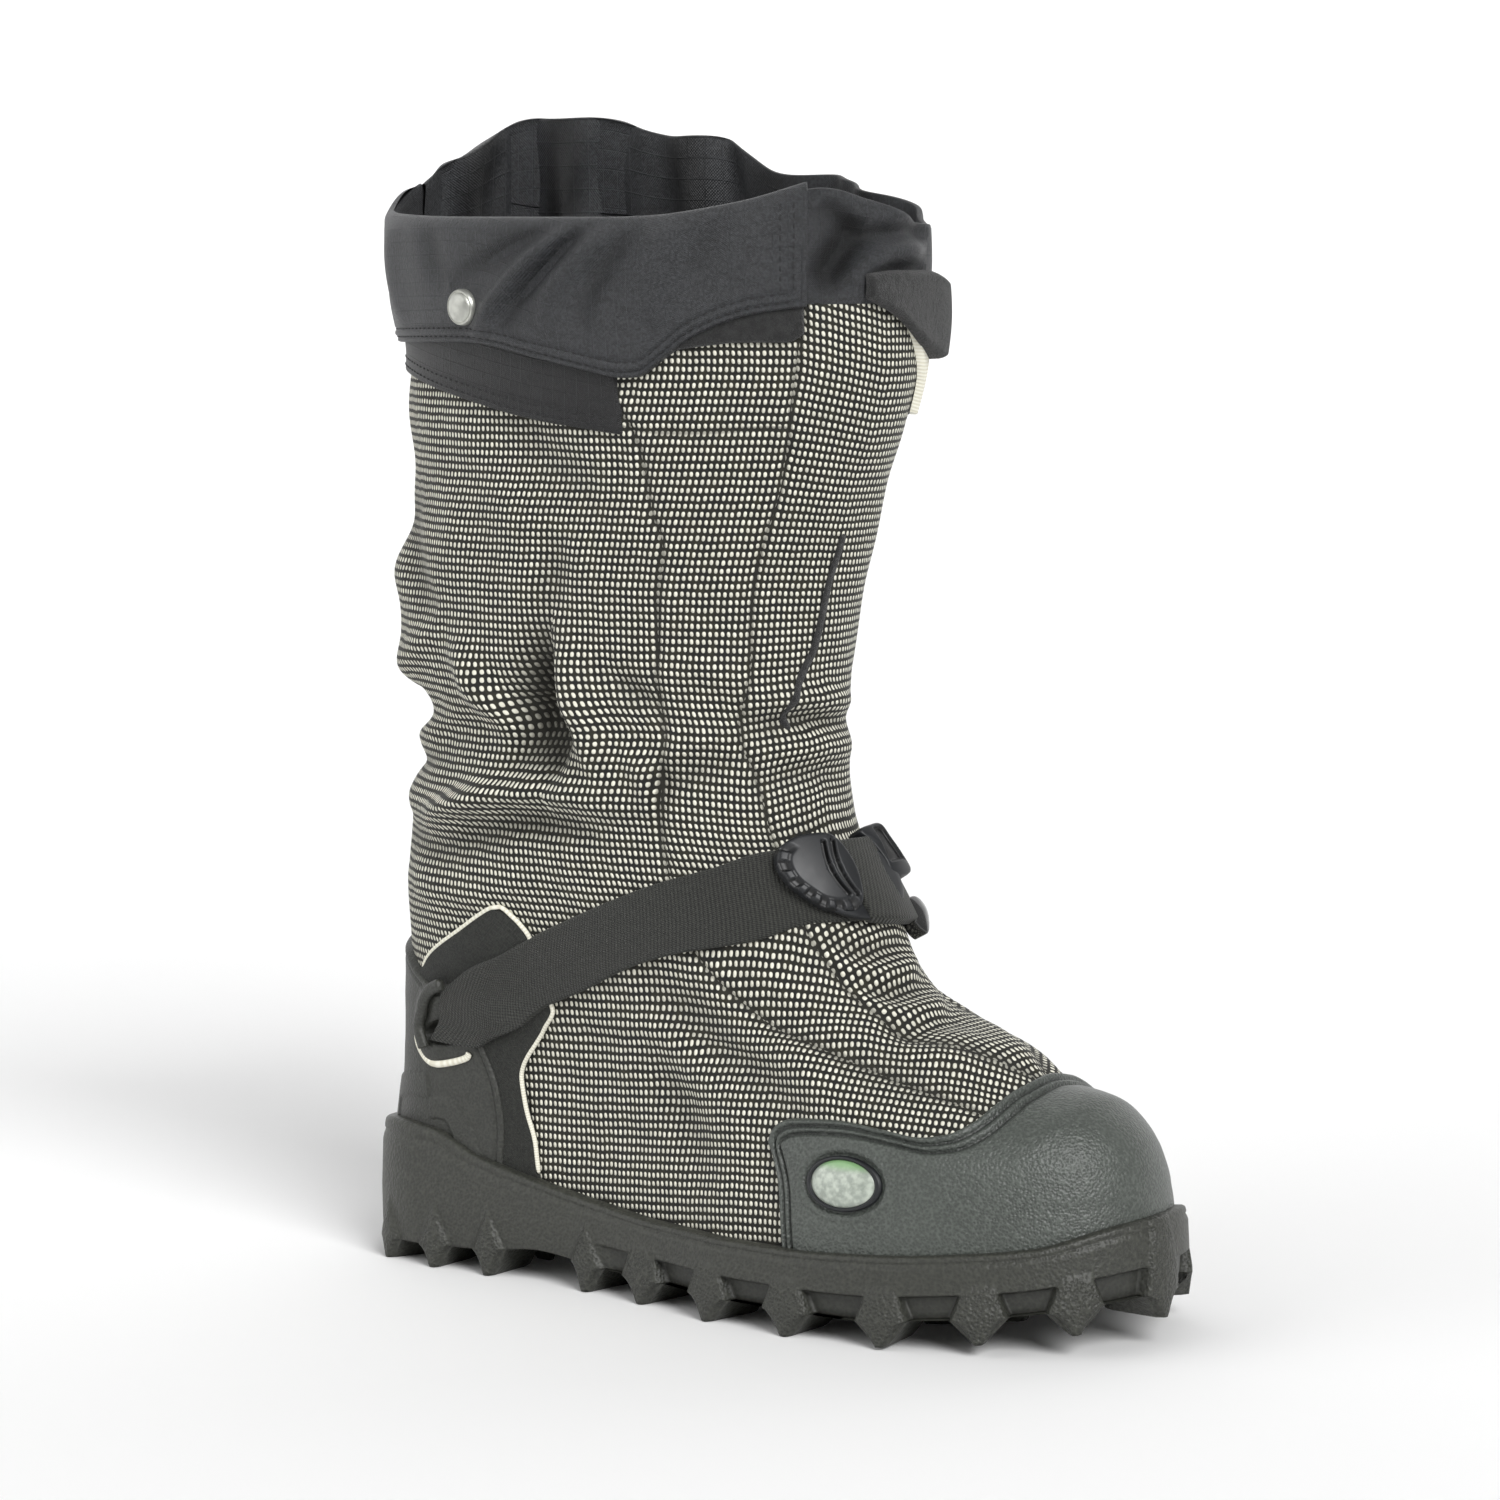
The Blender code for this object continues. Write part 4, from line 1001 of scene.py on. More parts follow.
class Weave(Finish):
    """Coarse cloth with off-white dots, laid panel by panel on either side of two seams."""

    def __init__(self, look: WeaveLook) -> None:
        """Builds the material: the panel's own UV map, dots, olive threads, dark seams and painted
        shade in the troughs.
        """
        self.start("dotted cloth")
        tree = self.tree
        maps = [Link(tree.add("UVMap", {"uv_map": name}), 0) for name in PANELS]
        seam_a, seam_b, stitch = (tree.held(name) for name in ("seam_a", "seam_b", "seam_cross"))
        cell = tree.mix(tree.math("GREATER_THAN", seam_a, 0.0), maps[0], maps[1])
        cell = tree.mix(tree.math("GREATER_THAN", seam_b, 0.0), cell, maps[2])
        dots = self.uses(dot_weave, Cell=cell)
        shade = tree.add("TexNoise", Scale=60.0, Detail=2.0)
        ground = tree.mix(tree.ramp(Link(shade, 0), 0.35, 0.75), paint(*look.ground),
                          paint(*look.thread))
        lit = tree.mix(1.0, paint(*look.dot), Link(dots, "Shade"), "MULTIPLY")
        colour = tree.mix(Link(dots, "Dot"), ground, lit)
        dark = None
        for far, width in ((seam_a, 0.9), (seam_b, 0.8), (stitch, 0.7)):
            near = tree.ramp(tree.math("ABSOLUTE", far), width + 0.6, width - 0.3)
            dark = near if dark is None else tree.math("MAXIMUM", dark, near)
        colour = tree.mix(tree.math("MULTIPLY", dark, 0.55), colour, paint(*look.seam))
        # painted shade: the cloth turns towards the seam colour in the troughs of its creases
        colour = tree.mix(tree.math("MULTIPLY", tree.held("hollow"), 0.8), colour,
                          paint(*look.seam))
        self.join("Base Color", colour)
        self.fixed(Roughness=0.82, Sheen_Weight=0.05)
        self.bump(Link(dots, "Height"), 0.00055, 0.9)


class Nylon(Finish):
    """Black ripstop nylon of the collar, the bands and the patches."""

    def __init__(self, name: str, tone: tuple[float, ...], step: float = 4.6,
                 rough: float = 0.46) -> None:
        """Builds the material from its colour and the step between the thick threads."""
        self.start(name)
        tree = self.tree
        cloth = self.uses(ripstop, Place=tree.fabric(), Step=step)
        wear = tree.add("TexNoise", Scale=34.0, Detail=4.0)
        base = tree.mix(tree.ramp(Link(wear, 0), 0.3, 0.75), tint(tone, 0.86),
                        tint(tone, 1.1))
        colour = tree.mix(tree.math("MULTIPLY", Link(cloth, "Line"), 0.35), base,
                          tint(tone, 1.45))
        speck = tree.add("TexNoise", Vector=tree.place(), Scale=1100.0, Detail=1.0)
        colour = tree.mix(tree.ramp(Link(speck, 0), 0.35, 0.7), colour, tint(tone, 1.35))
        # painted shade where the mesh's hollow attribute says the folds are deep
        self.join("Base Color", self.shaded(colour, 0.75))
        self.fixed(Roughness=rough, Sheen_Weight=0.06, Sheen_Roughness=0.4, Specular_IOR_Level=0.4)
        height = tree.math("MULTIPLY_ADD", Link(cloth, "Line"), 0.9,
                           tree.math("MULTIPLY_ADD", Link(cloth, "Weave"), 0.35,
                                     Link(speck, 0)))
        self.bump(height, 0.00035, 0.8)


class Rubber(Finish):
    """Matte moulded rubber with a pebbled skin."""

    def __init__(self, name: str, tone: tuple[float, ...], size: float, depth: float,
                 rough: float = 0.5, masked: bool = False) -> None:
        """Builds the material.

        Args:
            name: Name of the material.
            tone: Colour in sRGB values of 0 to 255.
            size: Size of the grain in millimetres.
            depth: Height of the grain in metres.
            rough: Mean roughness.
            masked: Whether the mesh's stipple attribute says where the grain is deep.
        """
        self.start(name)
        tree = self.tree
        skin = self.uses(grain, Place=tree.place(), Size=size)
        height = Link(skin, "Height")
        if masked:
            height = tree.math("MULTIPLY", height, tree.held("stipple"))
        colour = tree.mix(tree.ramp(Link(skin, "Patch"), 0.3, 0.7), tint(tone, 0.93),
                          tint(tone, 1.05))
        colour = tree.mix(tree.ramp(Link(skin, "Height"), 0.45, 0.95), colour, tint(tone, 1.28))
        # painted shade where the mesh's hollow attribute marks grooves and recesses
        self.join("Base Color", self.shaded(colour, 0.8))
        self.join("Roughness", tree.math("MULTIPLY_ADD", Link(skin, "Patch"), 0.12, rough - 0.06))
        self.bump(height, depth, 0.7)


class Webbing(Finish):
    """Black woven strap with a coarse twill."""

    def __init__(self) -> None:
        """Builds the material: rows of short slanted floats."""
        self.start("webbing")
        tree = self.tree
        split = tree.add("SeparateXYZ", i0=tree.fabric())
        slant = tree.math("MULTIPLY_ADD", Link(split, "Y"), 0.55, Link(split, "X"))
        rib = tree.math("SINE", tree.math("MULTIPLY", slant, 4.6))
        row = tree.math("SINE", tree.math("MULTIPLY", Link(split, "Y"), 4.3))
        fuzz = tree.add("TexNoise", Vector=tree.place(), Scale=900.0)
        height = tree.math("ADD", tree.math("MULTIPLY", rib, row),
                           tree.math("MULTIPLY", Link(fuzz, 0), 1.2))
        colour = tree.mix(tree.ramp(height, -0.3, 1.5), paint(18, 19, 17), paint(56, 57, 52))
        self.join("Base Color", colour)
        self.fixed(Roughness=0.75, Sheen_Weight=0.08)
        self.bump(height, 0.00025, 0.9)


class Fuzz(Finish):
    """Dark looped pile of the hook-and-loop pieces."""

    def __init__(self) -> None:
        """Builds the material: deep, fine noise."""
        self.start("looped pile")
        tree = self.tree
        place = tree.place()
        loops = tree.add("TexNoise", Vector=place, Scale=1500.0, Detail=4.0, Roughness=0.75)
        clump = tree.add("TexNoise", Vector=place, Scale=380.0, Detail=2.0)
        height = tree.math("ADD", Link(loops, 0), tree.math("MULTIPLY", Link(clump, 0), 0.8))
        self.join("Base Color", tree.mix(tree.ramp(height, 0.6, 1.2), paint(12, 12, 12),
                                         paint(46, 46, 46)))
        self.fixed(Roughness=0.95, Sheen_Weight=0.2)
        self.bump(height, 0.0011, 1.0)


class Tape(Finish):
    """Off-white binding tape and piping."""

    def __init__(self) -> None:
        """Builds the material: a fine rib across the tape."""
        self.start("cream tape")
        tree = self.tree
        split = tree.add("SeparateXYZ", i0=tree.fabric())
        rib = tree.math("SINE", tree.math("MULTIPLY", Link(split, "X"), 5.0))
        self.join("Base Color", tree.mix(tree.ramp(rib, -1.0, 1.0), paint(222, 218, 200),
                                         paint(240, 238, 224)))
        self.fixed(Roughness=0.8)
        self.bump(rib, 0.0001, 0.5)


@dataclass(frozen=True)
class HardLook:
    """Colour and gloss of a hard piece."""

    tone: tuple[float, ...]
    rough: float
    metal: float = 0.0
    coat: float = 0.0
    fleck: float = 0.08


class Hard(Finish):
    """Moulded plastic or metal with faint wear."""

    def __init__(self, name: str, look: HardLook) -> None:
        """Builds the material from its look."""
        self.start(name)
        tree = self.tree
        soft = Link(tree.add("TexNoise", Vector=tree.place(), Scale=260.0, Detail=5.0), 0)
        colour = tree.mix(tree.ramp(soft, 0.3, 0.7), tint(look.tone, 1 - look.fleck),
                          tint(look.tone, 1 + look.fleck))
        # painted shade where the mesh's hollow attribute marks carved grooves and hollows
        self.join("Base Color", self.shaded(colour, 0.9))
        self.join("Roughness", tree.math("MULTIPLY_ADD", soft, 0.14, look.rough - 0.07))
        self.fixed(Metallic=look.metal, Coat_Weight=look.coat, Coat_Roughness=0.12)
        self.bump(soft, 0.00005, 0.4)


class BadgeFace(Finish):
    """Pale silver-green face of the plain dome."""

    def __init__(self) -> None:
        """Builds the material: silver below, green towards the top, under a clear coat."""
        self.start("badge face")
        tree = self.tree
        split = tree.add("SeparateXYZ", i0=tree.place())
        blend = tree.ramp(Link(split, "Z"), 0.056, 0.0592)
        mottle = tree.add("TexNoise", Vector=tree.place(), Scale=420.0)
        silver = tree.mix(tree.ramp(Link(mottle, 0), 0.35, 0.7), paint(150, 158, 148),
                          paint(186, 194, 182))
        self.join("Base Color", tree.mix(blend, silver, paint(124, 164, 112)))
        self.fixed(Roughness=0.3, Coat_Weight=0.6, Coat_Roughness=0.08, Metallic=0.15)


class Palette:
    """Every finish of the shoe."""

    def __init__(self) -> None:
        """Makes the materials."""
        self.weave = Weave(WeaveLook()).material
        self.nylon = Nylon("collar nylon", (42, 43, 45)).material
        # the band's nylon is the collar's nylon darkened: painted shade of the flap that hangs
        # over it
        self.band = Nylon("band nylon in painted shade", (24, 24, 25)).material
        self.lining = Nylon("lining nylon", (28, 29, 31), 4.6, 0.6).material
        self.patch = Nylon("patch cloth", (35, 36, 33), 2.4, 0.75).material
        self.toe = Rubber("toe rubber", (65, 69, 65), 0.95, 0.0006, 0.42).material
        self.heel = Rubber("heel rubber", (44, 45, 41), 0.9, 0.00035, 0.52).material
        self.sole = Rubber("sole rubber", (46, 47, 42), 1.15, 0.0013, 0.5, True).material
        self.webbing = Webbing().material
        self.fuzz = Fuzz().material
        self.tape = Tape().material
        self.thread = Hard("black thread", HardLook((34, 34, 35), 0.7)).material
        self.plastic = Hard("buckle plastic", HardLook((22, 24, 27), 0.44)).material
        self.hook = Hard("glossy hook", HardLook((38, 38, 38), 0.18, coat=0.6)).material
        self.snap = Hard("snap metal", HardLook((188, 189, 182), 0.38, metal=0.8)).material
        self.badge = BadgeFace().material


def dress(piece: bpy.types.Object, material: bpy.types.Material, slot: str,
          *nodes: str) -> bpy.types.Object:
    """Gives a piece its material and its body, and hides the CAD nodes it stands for."""
    piece.data.materials.clear()
    piece.data.materials.append(material)
    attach(piece, "root")
    if nodes:
        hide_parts(*nodes)
    LOG.info("%s: %d faces", piece.name, len(piece.data.polygons))
    return piece


# The upper

PANELS = ("weave_side", "weave_middle", "weave_front")
PITCH_U, PITCH_V = 2.06, 2.68   # spacing of the dots round the shoe and up it


class Tilt(NamedTuple):
    """Slope of the rows of one panel at a level: rise per millimetre to the right."""

    z: float
    middle: float
    front: float


TILTS = listing(
    Tilt, (20, 0, 0), (100, -0.1, 0), (140, 0, 0.02), (170, -0.08, 0.22), (195, -0.04, 0.12),
    (215, -0.02, 0.06), (260, 0, -0.06), (300, 0, -0.18), (340, 0, -0.25))


# The strap's middle; the cloth's charts change under it
STRAP_MIDDLE = listing(
    Spot, (-0.08, 92), (0.2, 90), (0.25, 95), (0.42, 110), (0.6, 127), (0.8, 139), (1, 144),
    (1.16, 136.5), (1.33, 126), (1.5, 117), (1.59, 110), (1.75, 94), (1.8, 90), (1.92, 92))
FOOT_FACING = ((0.12, -0.93, 0.34), (0.42, -0.62, 0.66), (0.62, -0.12, 0.77))
FOOT_TURN = (0.0, -0.16, 0.1)


def chart(points: Array, facing: tuple[float, float, float], turn: float) -> Array:
    """Flat chart of points seen along a direction, in millimetres and turned by an angle."""
    out = np.array(facing) / np.linalg.norm(facing)
    right = np.array([-out[1], out[0], 0.0]) / np.hypot(out[0], out[1])
    up = np.cross(out, right)
    x, y = points @ right, points @ up
    c, s = math.cos(turn), math.sin(turn)
    return np.stack([x * c + y * s, y * c - x * s], -1)


@dataclass
class Upper:
    """Dotted cloth of the foot and shaft, its lining, the slit strip and the seams."""

    palette: Palette
    columns: int = 430
    rows: int = 226
    lining_columns: int = 150
    lining_rows: int = 80

    def place(self, u: Array, v: Array) -> tuple[Array, Array]:
        """Turn and level of a share round and up; three quarters of the net on the outer side."""
        s = np.interp(u, [0.0, 0.7, 1.0], [-0.08, 1.12, 1.92])
        low = LAST.lip(s) - CLOTH_DEPTH
        return s, low + (CLOTH_TOP - low) * v

    def outer(self, u: Array, v: Array) -> Array:
        """Outer face of the cloth."""
        s, z = self.place(u, v)
        return LAST.at(s, z, cloth_out(s, z))

    def panel(self, which: int) -> Shape:
        """UV map of one panel, in cells of the weave: one chart above the strap, one below."""
        def side(s: Array, z: Array) -> Array:
            """Arc from the middle of the side, and level."""
            arc = LAST.flat(s, z)[:, 0]
            middle = LAST.flat(np.full(s.shape, 0.36), z)[:, 0]
            return np.stack([arc - middle, z], -1)

        def tilted(start: float, column: str) -> Shape:
            """Chart that starts at a seam and whose rows rise with the panel's tilt."""
            def layout(s: Array, z: Array) -> Array:
                """Arc from the seam, and level less the rise of the rows."""
                arc = LAST.flat(s, z)[:, 0]
                seams = [LAST.flat(np.full(s.shape, turn), z)[:, 0] for turn in (start, 2 - start)]
                far = arc - seams[0]
                if column == "middle":
                    far = np.where(s > 1, seams[1] - arc, far)
                rise = np.minimum(far, 30.0) * curve(TILTS, column, z)
                return np.stack([far, z - rise], -1)
            return layout

        shaft = (side, tilted(0.712, "middle"), tilted(0.845, "front"))[which]
        facing, turn = FOOT_FACING[which], FOOT_TURN[which]

        def layout(u: Array, v: Array) -> Array:
            """Cells of the weave at shares of the net."""
            s, z = self.place(u, v)
            points = LAST.at(s, z)
            foot = chart(points, facing, turn)
            if which < 2:
                inner = chart(points, (facing[0], -facing[1], facing[2]), turn)
                foot = np.where((s > 1.0)[:, None], inner, foot)
            low = z < curve(STRAP_MIDDLE, "z", s)
            return np.where(low[:, None], foot, shaft(s, z)) / (PITCH_U, PITCH_V)

        return layout

    def seam(self, seam: Path) -> Shape:
        """Signed distance to a seam, in millimetres."""
        def value(u: Array, v: Array) -> Array:
            """Distance at shares of the net, the inner side mirrored."""
            s, z = self.place(u, v)
            return seam.measure(np.where(s > 1, 2 - s, s), z)[0]
        return value

    def hollow(self, u: Array, v: Array) -> Array:
        """How deep a place lies in a trough, 0 to 1, for the painted shade there."""
        return np.clip(-crease_height(*self.place(u, v)) / 6.0, 0.0, 1.0)

    def build(self) -> None:
        """Makes the cloth, the lining and the strip along the slit."""
        maps = {name: self.panel(k) for k, name in enumerate(PANELS)}
        values = {"seam_a": self.seam(SEAM_A), "seam_b": self.seam(SEAM_B),
                  "seam_cross": self.seam(SEAM_CROSS), "hollow": self.hollow}
        net = Sheet("upper_cloth", self.columns, self.rows, wrap=True)
        dress(net.build(self.outer, maps, values), self.palette.weave, "upper", "upper")
        inside = Sheet("upper_lining", self.lining_columns, self.lining_rows, wrap=True)

        def lining(u: Array, v: Array) -> Array:
            """Inner face, just inside the solid's wall and run the other way round."""
            s, z = self.place(1.0 - u, v)
            return LAST.at(s, z, cloth_out(s, z) * 0.9 - CLOTH - 0.5)

        def layout(u: Array, v: Array) -> Array:
            """Millimetres round and up the lining."""
            s, z = self.place(1.0 - u, v)
            return LAST.flat(s, z)

        dress(inside.build(lining, {"fabric": layout}), self.palette.lining, "upper")
        slit = Cord("slit_strip", SLIT, 1.5, 0.3, squash=0.45, on_cloth=True)
        dress(slit.build(), self.palette.fuzz, "fuzzy")


# Collar, band and flap

BAND = listing(
    Station, (-0.85, 300, -0.85, 339), (-0.6, 304, -0.6, 339), (-0.4, 306, -0.4, 339),
    (-0.15, 313, -0.15, 339), (0, 315, 0, 339), (0.13, 313.5, 0.13, 339), (0.3, 307.3, 0.3, 339),
    (0.47, 300, 0.46, 339), (0.622, 295.2, 0.58, 339))
FLAP = listing(
    Station, (-0.5, 334, -0.5, 365), (-0.2, 326, -0.2, 370), (0, 325, 0, 378),
    (0.115, 324, 0.115, 369.5), (0.35, 325, 0.35, 367.5), (0.494, 319.6, 0.494, 367.5),
    (0.607, 314.4, 0.607, 367.5), (0.632, 314.8, 0.64, 367.8), (0.667, 320.9, 0.67, 368.3),
    (0.7, 327.2, 0.7, 369.3), (0.777, 335.1, 0.777, 373), (0.852, 338.1, 0.856, 379))
HOOK_STRIP = listing(
    Station, (0.645, 322, 0.645, 339), (0.7, 324.5, 0.7, 339), (0.77, 326.4, 0.77, 339),
    (0.824, 326.4, 0.824, 339), (0.848, 329, 0.848, 339))
FRONT_TAB = listing(
    Station, (0.925, 341, 0.925, 349), (0.97, 335, 0.97, 350), (1.03, 325, 1.03, 350),
    (1.09, 320, 1.09, 347), (1.15, 322, 1.15, 345), (1.24, 326, 1.24, 345))
FRONT_TAB_OVER = (5.2, 5.6, 6.6, 8.6, 6.6, 5.4)
EDGE_TAPE = listing(
    Station, (1.07, 302, 1.105, 301), (1.062, 311, 1.115, 311), (1.035, 322, 1.12, 322),
    (1, 332, 1.12, 331), (0.96, 338.5, 1.12, 338.5))

# Folds of the nylon above the cloth, inside and outside
COLLAR_FOLDS = creases(
    (-8, 5, 6, (0.875, 342), (0.89, 352), (0.915, 360)),
    (3, 4, 4, (0.91, 346), (0.935, 353), (0.98, 357), (1.05, 357)),
    (-3.4, 3, 3, (0.93, 346), (0.98, 350), (1.05, 350)),
    (-3.6, 3, 3, (0.92, 361), (0.98, 362.5), (1.05, 362)),
    (2.2, 4, 4, (0.91, 368), (0.97, 368.5), (1.03, 367)),
    (-4, 4, 4, (0.87, 372), (0.9, 366), (0.925, 362)),
    (4, 9, 9, (1.22, 345), (1.2, 360), (1.21, 376)),
    (-4.5, 7, 8, (1.29, 348), (1.3, 366), (1.27, 384)),
    (4, 8, 6, (1.37, 348), (1.38, 366), (1.36, 388)),
    (-4, 7, 7, (1.44, 350), (1.46, 370), (1.45, 392)),
    (4.5, 9, 5, (1.52, 345), (1.53, 370), (1.55, 396)),
    (-5, 6, 9, (1.6, 345), (1.6, 372), (1.61, 400)),
    (4, 10, 6, (1.69, 345), (1.72, 370), (1.71, 404)),
    (-6, 5, 8, (1.775, 345), (1.79, 370), (1.8, 406)),
    (6, 3, 9, (1.845, 345), (1.85, 375), (1.845, 404)),
    (-4, 6, 6, (1.9, 345), (1.915, 370), (1.9, 394)),
    (3, 6, 6, (1.96, 345), (1.965, 365), (1.96, 386)))


FLAP_FOLDS = creases(
    (4.2, 3, 4.5, (0.565, 368), (0.5, 356), (0.44, 343), (0.39, 331), (0.375, 325)),
    (-4.6, 2.4, 3.2, (0.585, 368), (0.53, 356), (0.465, 342), (0.415, 331)),
    (3.6, 3.4, 5, (0.62, 368), (0.565, 355), (0.515, 343), (0.49, 330)),
    (-2.6, 4, 4, (0.65, 368), (0.61, 356), (0.575, 344), (0.55, 330)),
    (-2.8, 3.5, 4, (0.56, 366), (0.48, 360), (0.41, 352), (0.34, 346)),
    (-1.6, 6, 6, (0.3, 366), (0.31, 352), (0.34, 345)),
    (2, 8, 8, (0.2, 367), (0.18, 350), (0.2, 330)),
    (-1.8, 6, 7, (0.11, 368), (0.12, 350), (0.15, 334)),
    (1.8, 6, 8, (0.7, 368), (0.66, 354), (0.64, 334)),
    (-1.3, 5, 6, (0.76, 370), (0.73, 358), (0.7, 344)),
    (1.2, 6, 7, (0.82, 374), (0.79, 360), (0.77, 346)))


@dataclass
class Collar:
    """Nylon tube above the cloth, the fold-over flap, the band under it and their stitches."""

    palette: Palette
    lap: float = 1.0
    flap_over: float = 4.3
    stitch_rows: tuple[float, ...] = (2.6, 5.4)

    def fold(self, s: Array, z: Array) -> Array:
        """Height of the collar's folds, in millimetres."""
        total = np.zeros(s.shape)
        for crease in COLLAR_FOLDS:
            tall, share = crease.across(s, z)
            level = np.ptp([spot.z for spot in crease.path.spots]) < 14
            ends = np.sin(np.pi * np.clip(share, 0.0, 1.0)) ** 0.6 if level else 1.0
            total += tall * ends
        wave = 0.8 * np.sin(26 * np.pi * s + z / 9.0) * np.sin(z / 13.0 + 5 * s)
        return (total + wave) * ease((z - CLOTH_TOP) / 12.0)

    def tube(self, u: Array, v: Array) -> Array:
        """Outer face up to the rim, over it and down the inner face."""
        s = 2.0 * u
        start = CLOTH_TOP - self.lap
        waves = np.sin(19 * s) * np.sin(7 * s + 1.0) + 0.7 * np.sin(37 * s + 1.0)
        top = curve(RIM, "z", s) - 1.5 + 1.8 * waves * ease((s - 1.05) / 0.1) * ease(
            (1.97 - s) / 0.05)
        up = np.interp(v, [0.0, 0.46, 0.5, 0.54, 1.0], [0.0, 1.0, 1.012, 1.0, -0.2])
        z = start + (top - start) * up
        over = np.interp(v, [0.0, 0.04, 0.44, 0.48, 0.52, 0.56, 1.0],
                         [0.2, 1.8, 1.8, 1.2, -0.2, -0.7, -1.4])
        calm = ease((s - 0.83) / 0.04) * ease((1.62 - s) / 0.1)
        quiet = np.where(v < 0.5, calm, 1.0) * ease(s / 0.06) * ease((2.0 - s) / 0.06)
        lean = 2.2 * ease((z - 352.0) / 40.0) * ease((s - 1.1) / 0.2)
        return LAST.at(s, z, over + quiet * self.fold(s, z) - lean)

    def flap_lift(self, u: Array, v: Array) -> Array:
        """Soft slanting folds across the flap and a slight roll at its lower edge."""
        s, z, _ = self.flap.place(u, v)
        total = np.zeros(s.shape)
        for crease in FLAP_FOLDS:
            tall, share = crease.across(s, z)
            total += tall * np.sin(np.pi * share) ** 0.6
        border = self.flap.border(u, v)
        hem = 0.45 * (np.exp(-((border - 3.9) / 1.0) ** 2) - np.exp(-((border - 2.4) / 0.5) ** 2)
                      - np.exp(-((border - 5.4) / 0.5) ** 2))
        top = ease((1 - v) * 40.0 / 7.0)
        return (total * ease(border / 6.0) * np.where(v < 0.5, 1.0, 0.4 + 0.6 * top)
                + np.where(v < 0.5, hem, 0.0))

    def build(self) -> None:
        """Makes the tube, band, flap and stitches."""
        def layout(u: Array, v: Array) -> Array:
            """Millimetres round the tube and over its rim."""
            return np.stack([u * 470.0, v * 90.0], -1)

        def hollow(u: Array, v: Array) -> Array:
            """Painted shade, 0 to 1: deeper in the folds, and darker all over the inner face."""
            s = 2.0 * u
            top = curve(RIM, "z", s)
            deep = -self.fold(s, CLOTH_TOP + (top - CLOTH_TOP) * (1 - np.abs(2 * v - 1)))
            return np.clip(deep / 5.0 + 0.25 * ease((v - 0.5) / 0.05), 0, 1)

        made = Sheet("collar_tube", 420, 96, wrap=True).build(
            self.tube, {"fabric": layout}, {"hollow": hollow})
        dress(made, self.palette.nylon, "collar", "collar")
        self.flap = Strip("flap_cloth", FLAP, (self.flap_over,), 420, 90, 1.2, under=0.2,
                          round_top=7.0)
        self.flap.lift = self.flap_lift
        # painted shade in the troughs of the flap's folds
        hollow = {"hollow": lambda u, v: np.clip(-self.flap_lift(u, v) / 4.5, 0, 1)}
        dress(self.flap.build(hollow), self.palette.nylon, "collar", "collar_flap")
        self.band = Strip("band_cloth", BAND, (1.9,), 300, 40, 1.0)
        dress(self.band.build(), self.palette.band, "collar", "collar_band")
        hems = [self.across(self.flap, share) for share in (0.974, 0.986)]
        dress(StitchRow("flap_stitches", (*self.rows_along(self.flap, 0.02), *hems)).build(),
              self.palette.thread, "collar")
        dress(StitchRow("band_stitches", self.rows_along(self.band, 0.28)).build(),
              self.palette.thread, "collar")

    def rows_along(self, strip: Strip, start: float) -> tuple[Array, ...]:
        """Stitch lines at even distances inside a strip's lower edge."""
        made = []
        for inset in self.stitch_rows:
            u = np.linspace(start, 0.985, 200)
            made.append(strip.top(u, inset / strip.wide(u)))
        return tuple(made)

    def across(self, strip: Strip, share: float) -> Array:
        """Stitch line up a strip at one share of its length."""
        v = np.linspace(0.08, 0.94, 80)
        return strip.top(np.full(80, share), v)


@dataclass
class Closures:
    """Hook-and-loop pieces, the binding tape and the snap."""

    palette: Palette

    def build(self) -> None:
        """Makes the strip under the flap, the tab at the front, the tape and the snap cap."""
        strip = Strip("hook_pile", HOOK_STRIP, (2.2,), 120, 26, 1.0)
        dress(strip.build(), self.palette.fuzz, "fuzzy", "hook_strip")
        tab = Strip("front_pile", FRONT_TAB, FRONT_TAB_OVER, 120, 50, 2.4, under=2.2)
        tab.lift = lambda u, v: 1.2 * np.sin(9 * u + 2) * np.sin(np.pi * v)
        dress(tab.build(), self.palette.fuzz, "fuzzy", "front_tab")
        tape = Strip("tape_cloth", EDGE_TAPE[::-1], (2.4,), 90, 16, 0.8)
        dress(tape.build(), self.palette.tape, "cream", "edge_tape")
        snap = Boss("snap_button", Spot(0.365, 337.4), 6.2, 6.2,
                    ((0.98, 3.4), (1.0, 5.6), (0.98, 6.2), (0.92, 6.9), (0.89, 7.0), (0.86, 6.7),
                     (0.82, 6.7), (0.79, 7.1), (0.7, 7.6), (0.5, 8.1), (0.25, 8.4)), faces=0.43)
        dress(snap.build(), self.palette.snap, "snap", "snap_cap")


@dataclass
class Boss:
    """Oval turned piece that follows the last round a spot."""

    name: str
    spot: Spot
    half_length: float
    half_height: float
    profile: tuple[tuple[float, float], ...]
    sides: int = 64
    faces: float | None = None
    bend: float = 90.0

    def build(self) -> bpy.types.Object:
        """Makes the piece from its rim to its crown."""
        scales, outs = np.array(self.profile).T
        at = np.linspace(0, 1, len(scales))
        frame = frame_at(self.spot, self.faces)

        def shape(u: Array, v: Array) -> Array:
            """Points round the profile, bent to the last."""
            scale, out = np.interp(v, at, scales), np.interp(v, at, outs)
            x = self.half_length * scale * np.cos(2 * np.pi * u)
            y = self.half_height * scale * np.sin(2 * np.pi * u)
            return frame.place(x, y, out - x ** 2 / (2 * self.bend))

        rows = 4 * (len(scales) - 1)
        made = Sheet(self.name, self.sides, rows, wrap=True).build(
            shape, {"fabric": lambda u, v: np.stack([u, v], -1)})
        net = bmesh.new()
        net.from_mesh(made.data)
        rims = [edge for edge in net.edges if edge.is_boundary]
        bmesh.ops.holes_fill(net, edges=rims, sides=0)
        bmesh.ops.recalc_face_normals(net, faces=net.faces)
        net.to_mesh(made.data)
        net.free()
        return made


